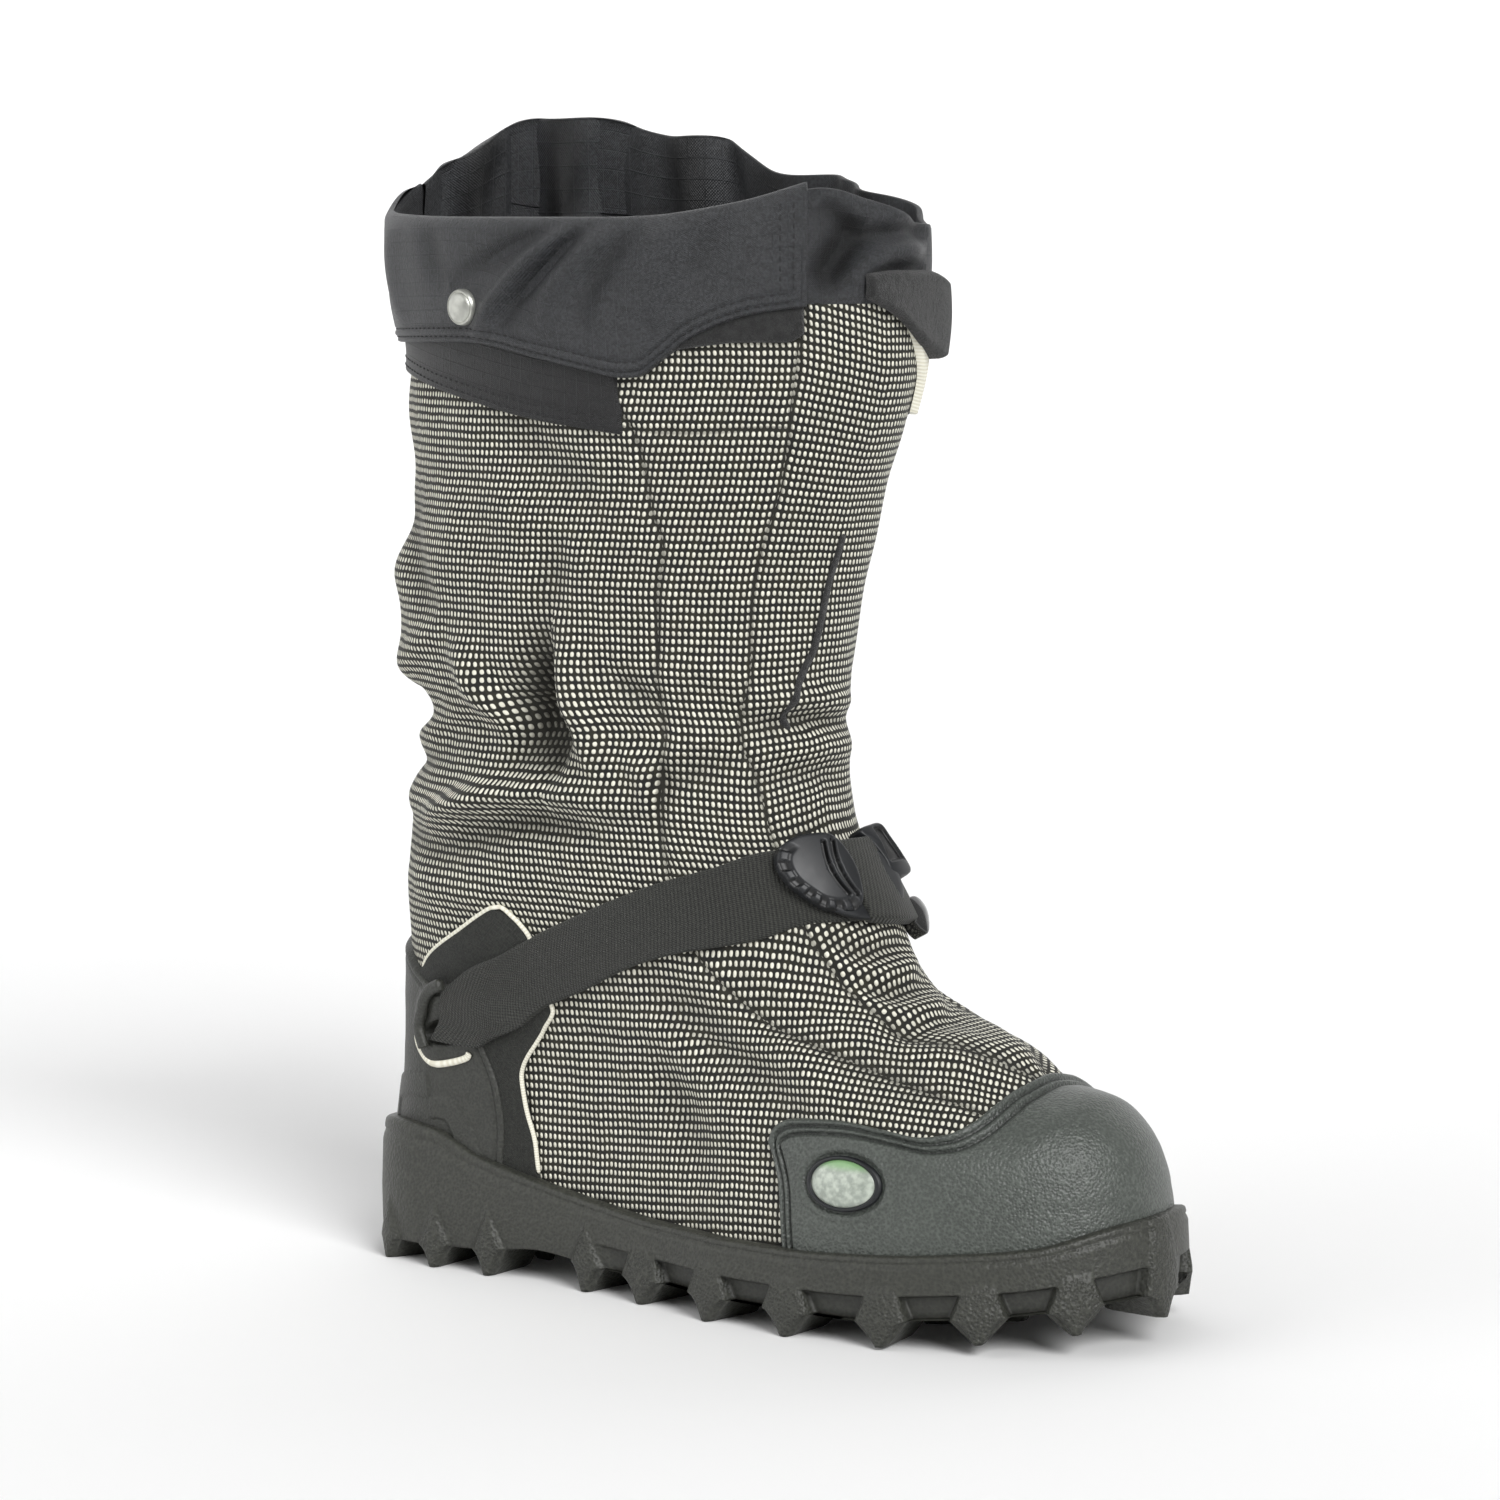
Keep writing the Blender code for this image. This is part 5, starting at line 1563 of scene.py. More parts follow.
class Frame(NamedTuple):
    """Flat frame of a stiff piece: origin, right, up and outward directions."""

    origin: Array
    right: Array
    up: Array
    out: Array

    def place(self, x: Array, y: Array, z: Array) -> Array:
        """Points from flat places and heights over the frame."""
        return (self.origin + np.asarray(x)[:, None] * self.right
                + np.asarray(y)[:, None] * self.up + np.asarray(z)[:, None] * self.out)


def frame_at(spot: Spot, faces: float | None = None) -> Frame:
    """Level frame at a spot, facing as the last does there or at another turn."""
    out = LAST.read(LAST.normal, np.array(faces if faces is not None else spot.s),
                    np.array(float(spot.z)))
    right = np.array([-out[1], out[0], 0.0])
    right /= np.linalg.norm(right)
    return Frame(LAST.at(spot.s, float(spot.z)), right, np.cross(out, right), out)


def steps_at(spot: Spot) -> tuple[float, float]:
    """Millimetres per unit of turn and per unit of level round a spot."""
    s, z = spot
    per_s = np.linalg.norm(LAST.at(s + 0.01, z) - LAST.at(s - 0.01, z)) / 0.02
    per_z = np.linalg.norm(LAST.at(s, z + 1.0) - LAST.at(s, z - 1.0)) / 2.0
    return float(per_s), float(per_z)


# Rubber parts

TOE_CAP = listing(
    Station, (0.624, 0, 0.615, 62.3), (0.638, 0, 0.63, 67), (0.665, 0, 0.658, 70.5),
    (0.72, 0, 0.719, 72), (0.767, 0, 0.767, 70.2), (0.8, 0, 0.8, 68.4), (0.829, 0, 0.829, 69.3),
    (0.865, 0, 0.865, 72.6), (0.91, 0, 0.91, 77.9), (0.951, 0, 0.951, 81.9), (1, 0, 1, 84.2))
COUNTER = listing(
    Station, (-0.245, 0, -0.242, 102), (-0.2, 0, -0.2, 101), (-0.11, 0, -0.11, 110),
    (0, 0, 0, 114), (0.11, 0, 0.11, 110), (0.2, 0, 0.2, 101), (0.245, 0, 0.242, 102))
HEEL_PATCH = listing(
    Station, (0.235, 28, 0.29, 28), (0.235, 46, 0.283, 44.4), (0.235, 57, 0.275, 57),
    (0.235, 68, 0.277, 68.6), (0.235, 77, 0.3, 78), (0.235, 87, 0.353, 90),
    (0.235, 96, 0.398, 97.2), (0.235, 99, 0.425, 121), (0.225, 98, 0.4, 129),
    (0.215, 97, 0.37, 131), (0.195, 96, 0.289, 121.2), (0.17, 97, 0.217, 112),
    (0.15, 98, 0.182, 106))
PIPING = path(
    (0.18, 105), (0.217, 112), (0.289, 121.2), (0.337, 127.6), (0.366, 131), (0.385, 131.7),
    (0.4, 129), (0.412, 126), (0.422, 121), (0.418, 110), (0.398, 97), (0.353, 90), (0.316, 82),
    (0.288, 75), (0.276, 68.6), (0.274, 58), (0.283, 44.4), (0.289, 34))
SLOT_SPOT = Spot(0.197, 84.5)
SLOT_EDGE = path(
    (0.152, 86), (0.143, 80), (0.15, 74.8), (0.164, 72.2), (0.189, 73.6), (0.214, 76),
    (0.222, 78))
PANEL_EDGE = path(
    (0.085, 34), (0.085, 52), (0.095, 56), (0.122, 58.5), (0.172, 60), (0.19, 57), (0.205, 48),
    (0.219, 36))
LOOP_LINE = path(
    (0.164, 78), (0.164, 86), (0.184, 92.5), (0.21, 98.3), (0.243, 102.8))
BADGE = Spot(0.698, 51.9)


@dataclass
class RubberParts:
    """Toe cap with its ribbed border, heel counter with the strap's slot, and the patches."""

    palette: Palette
    rib_insets: tuple[float, ...] = (2.4, 4.8)
    rib_width: float = 0.62
    rib_depth: float = 1.7
    swell: float = 6.0
    corner: float = 7.0

    def rim_gap(self, strip: Strip, u: Array, v: Array) -> Array:
        """Distance to the cap's upper and rear edges, without the edge on the sole."""
        across = (1 - v) * strip.wide(u)
        ends = np.minimum(u, 1 - u) * strip.run[-1]
        corner = self.corner
        a, b = np.maximum(corner - across, 0), np.maximum(corner - ends, 0)
        return np.where((across < corner) & (ends < corner), corner - np.hypot(a, b),
                        np.minimum(across, ends))

    def toe_cap(self) -> None:
        """Makes the cap: a lip, two grooves beside its upper edge and a swollen toe."""
        cap = Strip("toe_cap_rubber", TOE_CAP + mirrored(TOE_CAP[:-1]), (2.6,), 560, 100, 1.3)

        def lift(u: Array, v: Array) -> Array:
            """Grooves, swollen toe and the seat round the badge."""
            gap = self.rim_gap(cap, u, v)
            total = 0.3 * ease((gap - 5.5) / 4.0)
            for inset in self.rib_insets:
                total -= self.rib_depth * np.exp(-((gap - inset) / self.rib_width) ** 2)
            s, z, _ = cap.place(u, v)
            total += self.swell * ease((gap - 3.0) / 13.0) * np.exp(
                -((s - 1.0) / 0.11) ** 2) * ease((z - 44.0) / 22.0)
            frame = frame_at(BADGE)
            off = LAST.at(s, z) - frame.origin
            ring = np.hypot(off @ frame.right / 15.4, off @ frame.up / 10.4)
            total -= ease((1.02 - ring) / 0.08)
            total += 0.45 * np.exp(-((ring - 1.12) / 0.07) ** 2)
            return total

        def hollow(u: Array, v: Array) -> Array:
            """Shade in the grooves, 0 to 1."""
            gap = self.rim_gap(cap, u, v)
            lines = [np.exp(-((gap - inset) / 0.5) ** 2) for inset in self.rib_insets]
            return np.clip(sum(lines), 0, 1) * 0.8

        cap.lift = lift
        dress(cap.build({"hollow": hollow}), self.palette.toe, "rubber", "toe_cap")

    def counter(self) -> None:
        """Makes the counter: a moulded line inside its edge, a raised strap guide and the slot."""
        heel = Strip("heel_rubber", COUNTER, (2.8,), 300, 90, 1.6)

        def lift(u: Array, v: Array) -> Array:
            """Moulded line, strap guide, lower panel and the slot."""
            gap = self.rim_gap(heel, u, v)
            total = -0.8 * np.exp(-((gap - 3.2) / 0.6) ** 2)
            s, z, _ = heel.place(u, v)
            for turn in (s, -s):
                far, _ = LOOP_LINE.measure(turn, z)
                total += 1.2 * ease((8.0 - np.abs(far)) / 5.0)
                far, _ = PANEL_EDGE.measure(turn, z)
                total += 0.7 * ease(far * np.where(turn > 0.15, -1, 1) + 0.5) * (
                    (np.abs(far) < 9) & (turn > 0.04))
                per_s, per_z = steps_at(SLOT_SPOT)
                hole = np.hypot((turn - SLOT_SPOT.s) * per_s / 10.5,
                                (z - SLOT_SPOT.z + (turn - SLOT_SPOT.s) * per_s * -0.25) / 4.2)
                total -= 4.2 * ease((1.08 - hole) / 0.25)
            return total * ease(gap / 2.0)

        heel.lift = lift
        dress(heel.build(), self.palette.heel, "heel", "heel_counter")
        for sign, side in ((1, "outer"), (-1, "inner")):
            edge = path(*[(sign * spot.s, spot.z) for spot in SLOT_EDGE.spots])
            dress(Cord("slot_binding_" + side, edge, 1.25, 3.4, squash=0.5).build(),
                  self.palette.tape, "cream")

    def patches(self) -> None:
        """Makes the cloth patch beside the counter on both sides, with cream piping."""
        for side, stations, turn in (("outer", HEEL_PATCH, 1),
                                     ("inner", mirrored(HEEL_PATCH), -1)):
            patch = Strip("patch_cloth_" + side, stations[::-1], (1.8,), 160, 60, 0.9)
            dress(patch.build(), self.palette.patch, "collar", "heel_patch_" + side)
            edge = path(*[(turn * spot.s, spot.z) for spot in PIPING.spots])
            dress(Cord("patch_piping_" + side, edge, 0.8, 1.3).build(), self.palette.tape,
                  "cream")

    def build(self) -> None:
        """Makes the rubber parts and the patches."""
        self.toe_cap()
        self.counter()
        self.patches()


# Strap and buckle

WEBBING = listing(
    Station, (0.17, 80.5, 0.235, 100.5), (0.232, 79.6, 0.293, 108.8), (0.262, 83.2, 0.35, 114),
    (0.402, 98.2, 0.422, 121.7), (0.481, 105.1, 0.5, 129.5), (0.601, 116.3, 0.6, 138.5),
    (0.68, 121.6, 0.672, 144.2), (0.789, 126.4, 0.766, 150.1), (0.893, 132.5, 0.873, 156),
    (1, 132, 0.985, 156), (1.09, 129, 1.085, 153), (1.165, 124.5, 1.16, 148.5))
WEBBING_OVER = (5.0, 5.0, 4.8, 4.0, 3.2, 2.8, 2.8, 2.8, 2.8, 2.6, 2.6, 2.6)
WEBBING_IN = listing(
    Station, (1.13, 126.8, 1.125, 150.6), (1.215, 121, 1.21, 145.5), (1.33, 114, 1.33, 138.5),
    (1.5, 104.5, 1.49, 129)) + mirrored(WEBBING[:4])
WEBBING_IN_OVER = (2.4, 2.6, 2.8, 3.2, 4.0, 4.8, 5.0, 5.0)


class Corner(NamedTuple):
    """Corner of a flat outline, in millimetres."""

    x: float
    y: float


TAB_OUTLINE = listing(
    Corner, (-11.8, 11.4), (-5, 12.4), (1.8, 11.7), (6.2, 6.9), (9.4, -1.2), (9.9, -10.1),
    (7.6, -14.6), (2.2, -15.6), (-4.9, -13.8), (-10.4, -9.6), (-15.8, -4), (-18.3, 2.6),
    (-17.2, 7.8))
KEEPER_OUTLINE = listing(
    Corner, (-9, 8.4), (-3, 9.6), (3.4, 9.2), (5.2, 3.4), (7.6, -3.4), (9, -9), (3, -10.6),
    (-3.4, -8.6), (-4.4, -3.4), (-6.4, 2.6))
HOOK_OUTLINE = listing(
    Corner, (-3, 5), (1.6, 6.6), (5, 4.6), (6.2, 0.6), (4, -4.4), (0.6, -7.4), (-3, -3.4))
STRAP_END = listing(
    Station, (0.955, 131.5, 0.945, 157), (0.99, 130, 0.98, 157), (1.04, 128.5, 1.035, 156.5),
    (1.09, 127, 1.085, 154.5), (1.15, 125, 1.145, 152))


@dataclass
class Moulding:
    """Moulded piece with a rounded outline, domed top and optional grooves or ribs."""

    name: str
    spot: Spot
    outline: tuple[Corner, ...]
    low: float
    high: float
    dome: float
    carve: Shape | None = None
    rings: int = 30
    sides: int = 200
    bend: float = 75.0
    faces: float | None = None
    wall_share: float = 0.12
    edge_share: float = 0.08
    edge_height: float = 0.8

    def build(self) -> bpy.types.Object:
        """Makes the piece: side wall, rounded edge and top, drawn in towards the middle."""
        corners = np.array(self.outline)
        centre = corners.mean(0)
        closed = np.vstack([corners, corners[:1]])
        turn = lengths(closed) / lengths(closed)[-1]
        frame = frame_at(self.spot, self.faces)

        def outline(u: Array) -> Array:
            """Points of the smooth outline at shares of its length."""
            k = np.searchsorted(turn, np.mod(u, 1.0), side="right") - 1
            k = np.clip(k, 0, len(corners) - 1)
            t = ((np.mod(u, 1.0) - turn[k]) / (turn[k + 1] - turn[k]))[:, None]
            p = [corners[(k + n) % len(corners)] for n in (-1, 0, 1, 2)]
            return 0.5 * (2 * p[1] + (p[2] - p[0]) * t + (2 * p[0] - 5 * p[1] + 4 * p[2] - p[3])
                          * t ** 2 + (3 * p[1] - p[0] - 3 * p[2] + p[3]) * t ** 3)

        def shape(u: Array, v: Array) -> Array:
            """Points up the side wall, over the edge and in to the middle."""
            wall = np.clip(v / self.wall_share, 0, 1)
            inward = np.clip((v - self.wall_share) / (1 - self.wall_share), 0, 1)
            scale = 1.0 - inward
            out = (self.low + (self.high - self.edge_height - self.low) * wall
                   + self.edge_height * rounded(inward / self.edge_share)
                   + self.dome * (1 - scale ** 2))
            place = centre + (outline(u) - centre) * scale[:, None]
            if self.carve is not None:
                cut = self.carve(place, scale) * (wall >= 1)
                # how deep the carving cuts, kept for the painted shade in the grooves and hollows
                self.depth = np.clip(-cut, 0, 1)
                out = out + cut
            x, y = place.T
            out = out - x ** 2 / (2 * self.bend) - y ** 2 / (5 * self.bend)
            return frame.place(x, y, out)

        self.depth = np.zeros((self.sides + 1) * (self.rings + 1))
        # the hollow attribute carries painted shade into the carved grooves
        return Sheet(self.name, self.sides, self.rings, wrap=True, turned=True).build(
            shape, {"fabric": lambda u, v: np.stack([u * 60, v * 20], -1)},
            {"hollow": lambda u, v: self.depth})


def groove(place: Array, start: Corner, end: Corner, bow: float) -> Array:
    """Distance of flat places to a slightly bowed line between two corners."""
    a, b = np.array(start), np.array(end)
    run = (b - a) / np.linalg.norm(b - a)
    size = np.linalg.norm(b - a)
    t = np.clip(((place - a) @ run) / size, 0, 1)
    side = np.array([-run[1], run[0]])
    spot = a + t[:, None] * (b - a) + side * (bow * 4 * t * (1 - t))[:, None]
    return np.linalg.norm(place - spot, axis=1)


@dataclass
class Strap:
    """Webbing round the ankle with its loops, buckle, keeper and hook."""

    palette: Palette

    def tab_carve(self, place: Array, scale: Array) -> Array:
        """Two curved grooves and the ribs along the tab's lower left edge."""
        total = np.zeros(len(place))
        for start, end in ((Corner(-1.6, 8.4), Corner(3.8, -9.7)),
                           (Corner(1.9, 8.9), Corner(7.1, -9.9))):
            total -= 1.9 * ease((1.15 - groove(place, start, end, -2.2)) / 0.5)
        angle = np.arctan2(place[:, 1], place[:, 0])
        lower_left = ease((-0.15 - np.cos(angle - 0.75)) / 0.25)
        rib = ease(0.5 + 1.4 * np.sin(angle * 15))
        total -= 1.3 * rib * ease((scale - 0.76) / 0.05) * lower_left
        total -= 0.6 * np.exp(-((scale - 0.75) / 0.02) ** 2) * lower_left
        return total

    def keeper_carve(self, place: Array, scale: Array) -> Array:
        """Hollow across the keeper between its raised rear edge and its lower lip."""
        hollow = ease((place[:, 0] + 3.2) / 2.0) * ease((place[:, 1] + 5.8) / 2.0)
        return -1.6 * hollow * ease((0.9 - scale) / 0.1)

    def build(self) -> None:
        """Makes the strap's pieces."""
        make = self.palette
        for name, stations, over, node, under in (
                ("strap_webbing", WEBBING, WEBBING_OVER, "strap", 0.9),
                ("strap_webbing_inner", WEBBING_IN, WEBBING_IN_OVER, "strap_inner", 0.9)):
            strip = Strip(name, stations, over, 380, 30, 0.9, under=under)
            strip.lift = lambda u, v: 0.12 * np.sin(25 * u) * np.sin(np.pi * v)
            dress(strip.build(), make.webbing, "webbing", node)
        flipped = path(*[(-spot.s, spot.z) for spot in LOOP_LINE.spots])
        for side, stations in (("outer", LOOP_LINE), ("inner", flipped)):
            loop = Cord("loop_rubber_" + side, stations, 2.3, 5.6, sides=16, squash=0.8)
            dress(loop.build(), make.heel, "heel", "strap_loop_" + side)
        base = Boss("buckle_plate", Spot(0.975, 143.5), 20.0, 14.5,
                    ((1.0, 2.8), (1.0, 3.6), (0.98, 4.3), (0.95, 4.6), (0.6, 4.6), (0.2, 4.6)))
        dress(base.build(), make.plastic, "plastic", "buckle_base")
        tab = Moulding("buckle_thumb", Spot(0.93, 148.0), TAB_OUTLINE, 4.7, 8.6, 0.5,
                       self.tab_carve)
        dress(tab.build(), make.plastic, "plastic", "buckle_tab")
        keeper = Moulding("keeper_bar", Spot(1.062, 150.0), KEEPER_OUTLINE, 3.0, 8.6, 0.8,
                          self.keeper_carve, bend=40.0, faces=1.0)
        dress(keeper.build(), make.plastic, "plastic", "strap_keeper")
        hook = Moulding("hook_end", Spot(1.085, 128.5), HOOK_OUTLINE, 2.0, 7.5, 1.2, faces=1.0)
        dress(hook.build(), make.hook, "plastic", "strap_hook")
        fold = Strip("strap_end", STRAP_END, (6.0,), 120, 40, 1.4, under=2.0)
        fold.lift = lambda u, v: 0.5 * np.sin(6 * u + 1.0) * np.sin(np.pi * v)
        dress(fold.build(), make.webbing, "webbing")


@dataclass
class Emblem:
    """Plain oval dome in a dark rim on the toe cap."""

    palette: Palette

    def build(self) -> None:
        """Makes the rim and the dome."""
        rim = Boss("emblem_rim", BADGE, 14.4, 9.2,
                   ((1.0, 1.0), (1.0, 3.2), (0.96, 3.9), (0.9, 4.1), (0.85, 3.7), (0.84, 3.0)))
        dress(rim.build(), self.palette.plastic, "plastic", "badge_rim")
        dome = Boss("emblem_dome", BADGE, 14.4, 9.2,
                    ((0.86, 2.8), (0.85, 3.4), (0.74, 4.1), (0.55, 4.6), (0.35, 4.95),
                     (0.15, 5.1), (0.02, 5.13)))
        dress(dome.build(), self.palette.badge, "badge", "badge_dome")


# The sole

class Lug(NamedTuple):
    """Places of a side lug along the shoe on either side."""

    outer: float
    inner: float


LUGS = listing(
    Lug, (-137, -137), (-113.5, -112), (-89.5, -88), (-46, -50), (-19, -22), (14, 10), (48, 44),
    (84.6, 80), (116.7, 112), (143.5, 141))


class Wall(NamedTuple):
    """Row of the sole's skin: share of the way, inset and how its height is worked out."""

    v: float
    inset: float
    up: float


WALLS = listing(
    Wall, (0, 8, 0), (0.06, 7.6, 1), (0.08, 2.4, 1), (0.11, 1.5, 0.975), (0.14, 1.1, 0.91),
    (0.16, 1.6, 0.885), (0.18, 1, 0.855), (0.21, 0.5, 0.8), (0.42, 0, 0.4), (0.58, 0.2, 0.1),
    (0.63, 0.5, 0), (0.74, 1, -1), (0.76, 2, -1), (0.84, 21.5, -1), (0.88, 24, -1), (1, 24, -1))


@dataclass
class Sole:
    """Rubber cup with pointed side lugs, a groove under its lip, and the footbed."""

    palette: Palette
    heel_half: float = 6.8
    fore_half: float = 9.6
    lug_tip: float = 1.8
    rib_out: float = 2.6
    heel_apex: float = 15.0
    fore_apex: float = 11.5
    shelf: float = 0.4
    recess: float = 3.0
    reach: float = 23.0
    bed_inset: float = 8.0
    bed_thick: float = 4.0
    lip_depth: float = 5.0
    lip_v: float = 0.06
    foot_v: float = 0.74
    under_v: float = 0.88
    columns: int = 1240
    rows: int = 76

    def half(self, sign: int) -> Array:
        """Half outline of the sole, back to front; sign -1 is the outer side."""
        turn = np.linspace(0.0, math.pi, 700)
        x = SOLE_BACK + (SOLE_FRONT - SOLE_BACK) * (1 - np.cos(turn)) / 2
        toe = TOE_ROUND_OUT if sign < 0 else TOE_ROUND_IN
        half = curve(PLAN, "outer" if sign < 0 else "inner", x)
        half = half * rounded((x - SOLE_BACK) / HEEL_ROUND) * rounded((SOLE_FRONT - x) / toe)
        return np.stack([x, sign * half], 1)

    def outline(self) -> tuple[Array, Array, Array, Array]:
        """Closed outline: points, inward normals, distances and the lugs' distances."""
        outer, inner = self.half(-1), self.half(1)
        ring = np.vstack([outer, inner[-2::-1]])
        length = lengths(ring)
        tangent = np.gradient(ring, axis=0)
        tangent /= np.maximum(np.linalg.norm(tangent, axis=1, keepdims=True), 1e-9)
        inward = np.stack([-tangent[:, 1], tangent[:, 0]], 1)
        half = lengths(outer)
        spots = [float(np.interp(lug.outer, outer[:, 0], half)) for lug in LUGS]
        back = lengths(inner)
        spots += [length[-1] - float(np.interp(lug.inner, inner[:, 0], back)) for lug in LUGS]
        spots += [0.0, half[-1], length[-1]]
        return ring, inward, length, np.array(sorted(spots))

    def shape(self, u: Array, v: Array) -> Array:
        """Skin from the inside of the lip, down the side, and in under the tread."""
        ring, inward, length, lugs = self.frame
        d = u * length[-1]
        read = [np.interp(d, length, ring[:, k]) for k in (0, 1)]
        turn = [np.interp(d, length, inward[:, k]) for k in (0, 1)]
        x = read[0]
        share = np.where(d <= length[-1] / 2, d / length[len(length) // 2],
                         2 - (length[-1] - d) / (length[-1] - length[len(length) // 2]))
        floor, base = curve(SIDE, "floor", x), curve(SIDE, "base", x)
        wall = np.interp(share, self.tops[0], self.tops[1])
        signed = d[:, None] - lugs[None, :]
        nearest = np.argmin(np.abs(signed), axis=1)
        near = np.abs(signed[np.arange(len(d)), nearest])
        fore = ease((x + 45.0) / 20.0)
        half = self.heel_half + (self.fore_half - self.heel_half) * fore
        lug = np.clip((half + 0.5 - near) / (half + 0.5 - self.lug_tip), 0, 1)
        low = base + (floor - base) * lug
        tall = wall - base
        rows = self.levels
        h = np.interp(v, rows[:, 0], rows[:, 2])
        inset = np.interp(v, rows[:, 0], rows[:, 1])
        side = (v >= self.lip_v) & (v <= self.foot_v)
        z_side = np.where(h >= 0, base + tall * np.minimum(h, 1.0), base + (low - base) * -h)
        within = np.clip((v - self.under_v) / (1 - self.under_v), 0, 1)
        middle = ease((0.17 - np.abs(within - 0.5)) / 0.07) * ease((0.8 * half - near) / 2.5)
        z_tread = (base + (low - base) * ease((self.reach - inset) / 1.6) * (near < half + 0.5)
                   * (within <= 0) + (floor - base) * middle)
        z = np.where(v > self.foot_v, z_tread, z_side)
        z = np.where(v < self.lip_v, wall + (h - 1.0) * self.lip_depth, z)
        front = np.abs(lugs[nearest] - self.toe_at) < 1.0
        apex = np.where(front, 1.3, (self.heel_apex + (self.fore_apex - self.heel_apex) * fore)
                        / tall)
        width = half * np.clip(1 - (0.52 * fore + (1 - fore)) * np.maximum(h, 0) / apex, 0, 1)
        width = np.where(h < 0, half - (half - self.lug_tip) * -h, width)
        rise = np.clip((apex - h) / apex, 0, 1) ** 0.8
        round_ = np.clip(1 - (near / np.maximum(width, 0.1)) ** 2, 0, 1)
        bulge = (self.rib_out * rise * (0.45 + 0.55 * round_ ** 0.7)
                 * ease((width - near + 0.6) / 1.2))
        recess = (ease((near - width + 0.2) / 1.2) * ease((self.shelf - h) / 0.045)
                  * fore * (h > -0.2) * ease((near - 3.5) / 2.0))
        inset = inset + np.where(side, self.recess * recess - bulge, 0.0)
        self.mask = 0.4 + 0.75 * ease((width - near + 1.0) / 3.0) * ease((apex - h) / 0.2)
        self.mask = self.mask * (1 - 0.75 * recess)
        # painted shade in the recesses between the lugs, carried by the hollow attribute
        self.deep = 0.35 * recess * side
        under = (v > self.foot_v) & (inset < 4)
        inset = np.where(under & (near > half), inset + 1.4, inset)
        across = read[1] + turn[1] * inset
        line = (curve(PLAN, "inner", x) - curve(PLAN, "outer", x)) / 2
        along_x = read[0] + turn[0] * inset
        stop = np.clip(along_x, SOLE_BACK + 30.0, SOLE_FRONT - 45.0)
        return np.stack([along_x + (stop - along_x) * within,
                         across + (line - across) * within, z], -1)

    def footbed(self) -> None:
        """Makes the footbed that lies in the cup, its face over the bed."""
        outer, inner = self.half(-1), self.half(1)
        inset, thick = self.bed_inset, self.bed_thick

        def shape(u: Array, v: Array) -> Array:
            """Points between the sole's two edges, both drawn in."""
            edges = []
            for ring in (outer, inner):
                turn = np.linspace(-0.02, 1.02, len(ring))
                x, y = (np.interp(u, turn, ring[:, k]) for k in (0, 1))
                edges.append((x * (1 + inset / SOLE_BACK),
                              np.sign(y) * np.maximum(np.abs(y) - inset, 0)))
            y = edges[0][1] * (1 - v) + edges[1][1] * v
            return np.stack([edges[0][0], y, curve(SIDE, "bed", edges[0][0]) + thick], -1)

        made = Sheet("footbed_cloth", 200, 24).build(
            shape, {"fabric": lambda u, v: shape(u, v)[:, :2]})
        dress(made, self.palette.lining, "insole", "insole")

    def build(self) -> None:
        """Makes the sole's skin and the footbed."""
        self.frame = self.outline()
        self.toe_at = float(lengths(self.half(-1))[-1])
        s = np.linspace(0, 2, 401)
        self.tops = (s, LAST.wall_height(s))
        self.levels = np.array(WALLS)
        sheet = Sheet("sole_rubber", self.columns, self.rows, wrap=True, turned=True)
        made = sheet.build(self.shape, {"fabric": lambda u, v: np.stack([u * 900, v * 90], -1)},
                           {"stipple": lambda u, v: self.mask, "hollow": lambda u, v: self.deep})
        dress(made, self.palette.sole, "outsole", "outsole")
        self.footbed()


# Studio

@dataclass(frozen=True)
class CameraPlace:
    """Where the photo was taken from, worked out from the shoe's sizes in it."""

    azimuth: float = 35.0
    distance: float = 1.65
    height: float = 0.37
    aim: float = 0.19
    lens: float = 116.7
    shift_x: float = -0.0113
    shift_y: float = -0.007


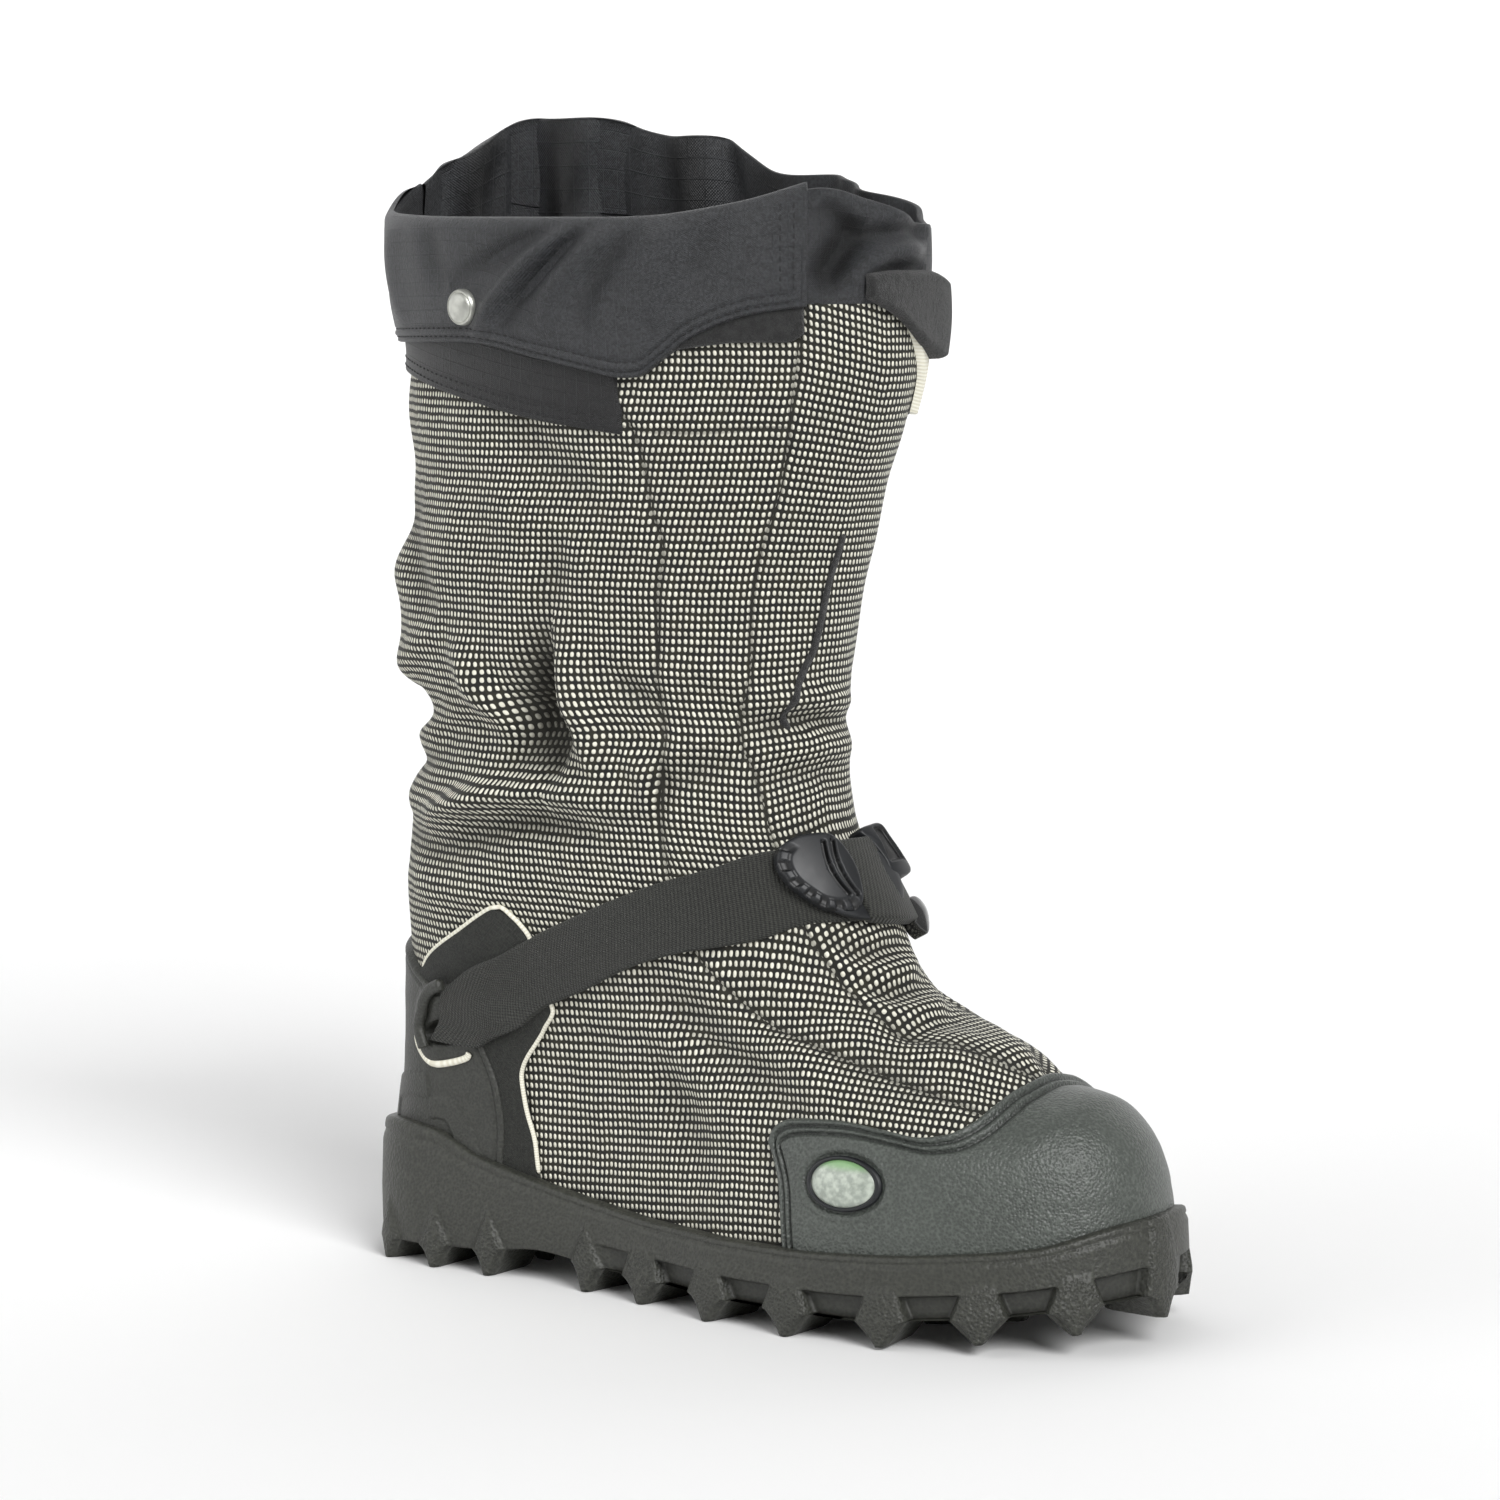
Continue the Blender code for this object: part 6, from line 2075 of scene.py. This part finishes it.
@dataclass
class Studio:
    """Pale floor, soft lights and the camera."""

    place: CameraPlace
    wall_at: float = 1.6

    def floor(self) -> None:
        """Wide pale floor that curves up into a backdrop behind the shoe."""
        net = bmesh.new()
        bmesh.ops.create_grid(net, x_segments=80, y_segments=80, size=9.0)
        turn = math.radians(self.place.azimuth)
        for vert in net.verts:
            away = -math.sin(turn) * vert.co.x + math.cos(turn) * vert.co.y
            rise = max(0.0, away - self.wall_at)
            vert.co.z = 0.45 * rise ** 2
        ground = from_bmesh("floor", net)
        made = bpy.data.materials.new("pale floor")
        made.use_nodes = True
        shader = made.node_tree.nodes["Principled BSDF"]
        tree = Tree(made.node_tree)
        fleck = tree.add("TexNoise", Scale=3.0)
        colour = tree.mix(tree.ramp(Link(fleck, 0), 0.2, 0.8), (0.91, 0.91, 0.91, 1),
                          (0.93, 0.93, 0.93, 1))
        tree.join(colour, shader, "Base Color")
        shader.inputs["Roughness"].default_value = 0.95
        shader.inputs["Specular IOR Level"].default_value = 0.1
        ground.data.materials.append(made)
        ground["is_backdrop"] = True

    def lamp(self, name: str, toward: tuple[float, float, float], power: float,
             spread: float) -> None:
        """Wide soft light that comes evenly from one direction."""
        data = bpy.data.lights.new(name, "SUN")
        data.energy, data.angle = power, math.radians(spread)
        lamp = bpy.data.objects.new(name, data)
        lamp.location = Vector(toward) * 2.0
        lamp.rotation_euler = (-Vector(toward)).to_track_quat("-Z", "Y").to_euler()
        bpy.context.scene.collection.objects.link(lamp)
        lamp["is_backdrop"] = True

    def camera(self) -> None:
        """Camera at the photo's angle and distance."""
        at, turn = self.place, math.radians(self.place.azimuth)
        data = bpy.data.cameras.new("camera")
        data.lens, data.sensor_width = at.lens, 36.0
        data.shift_x, data.shift_y = at.shift_x, at.shift_y
        camera = bpy.data.objects.new("camera", data)
        spot = Vector((math.sin(turn) * at.distance, -math.cos(turn) * at.distance, at.height))
        camera.location = spot
        camera.rotation_euler = (Vector((0, 0, at.aim)) - spot).to_track_quat("-Z", "Y").to_euler()
        bpy.context.scene.collection.objects.link(camera)
        bpy.context.scene.camera = camera

    def world(self) -> None:
        """Even white surroundings."""
        world = bpy.data.worlds.new("studio")
        world.use_nodes = True
        back = world.node_tree.nodes["Background"]
        back.inputs["Color"].default_value = (1, 1, 1, 1)
        back.inputs["Strength"].default_value = 0.3
        bpy.context.scene.world = world
        bpy.context.scene.view_settings.view_transform = "Standard"

    def build(self) -> None:
        """Sets the stage."""
        self.floor()
        self.world()
        self.lamp("key", (0.72, -0.4, 0.57), 2.6, 30.0)
        self.lamp("fill", (-0.62, -0.7, 0.45), 1.0, 60.0)
        self.camera()


def corners(box: tuple[Vector, Vector]) -> list[list[float]]:
    """Bounds as plain lists of numbers."""
    return [[round(v, 6) for v in corner] for corner in box]


def main() -> None:
    """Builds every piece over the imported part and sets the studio."""
    logging.basicConfig(level=logging.INFO, format="%(message)s")
    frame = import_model()
    before = corners(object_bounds())
    LOG.info("frame: %d nodes", len(frame["nodes"]))
    palette = Palette()
    for part in (Upper(palette), Collar(palette), Closures(palette), RubberParts(palette),
                 Strap(palette), Emblem(palette), Sole(palette), Studio(CameraPlace())):
        part.build()
        LOG.info("built %s", type(part).__name__)
    {"cad": before, "visual": corners(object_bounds())}


if __name__ == "__main__":
    main()
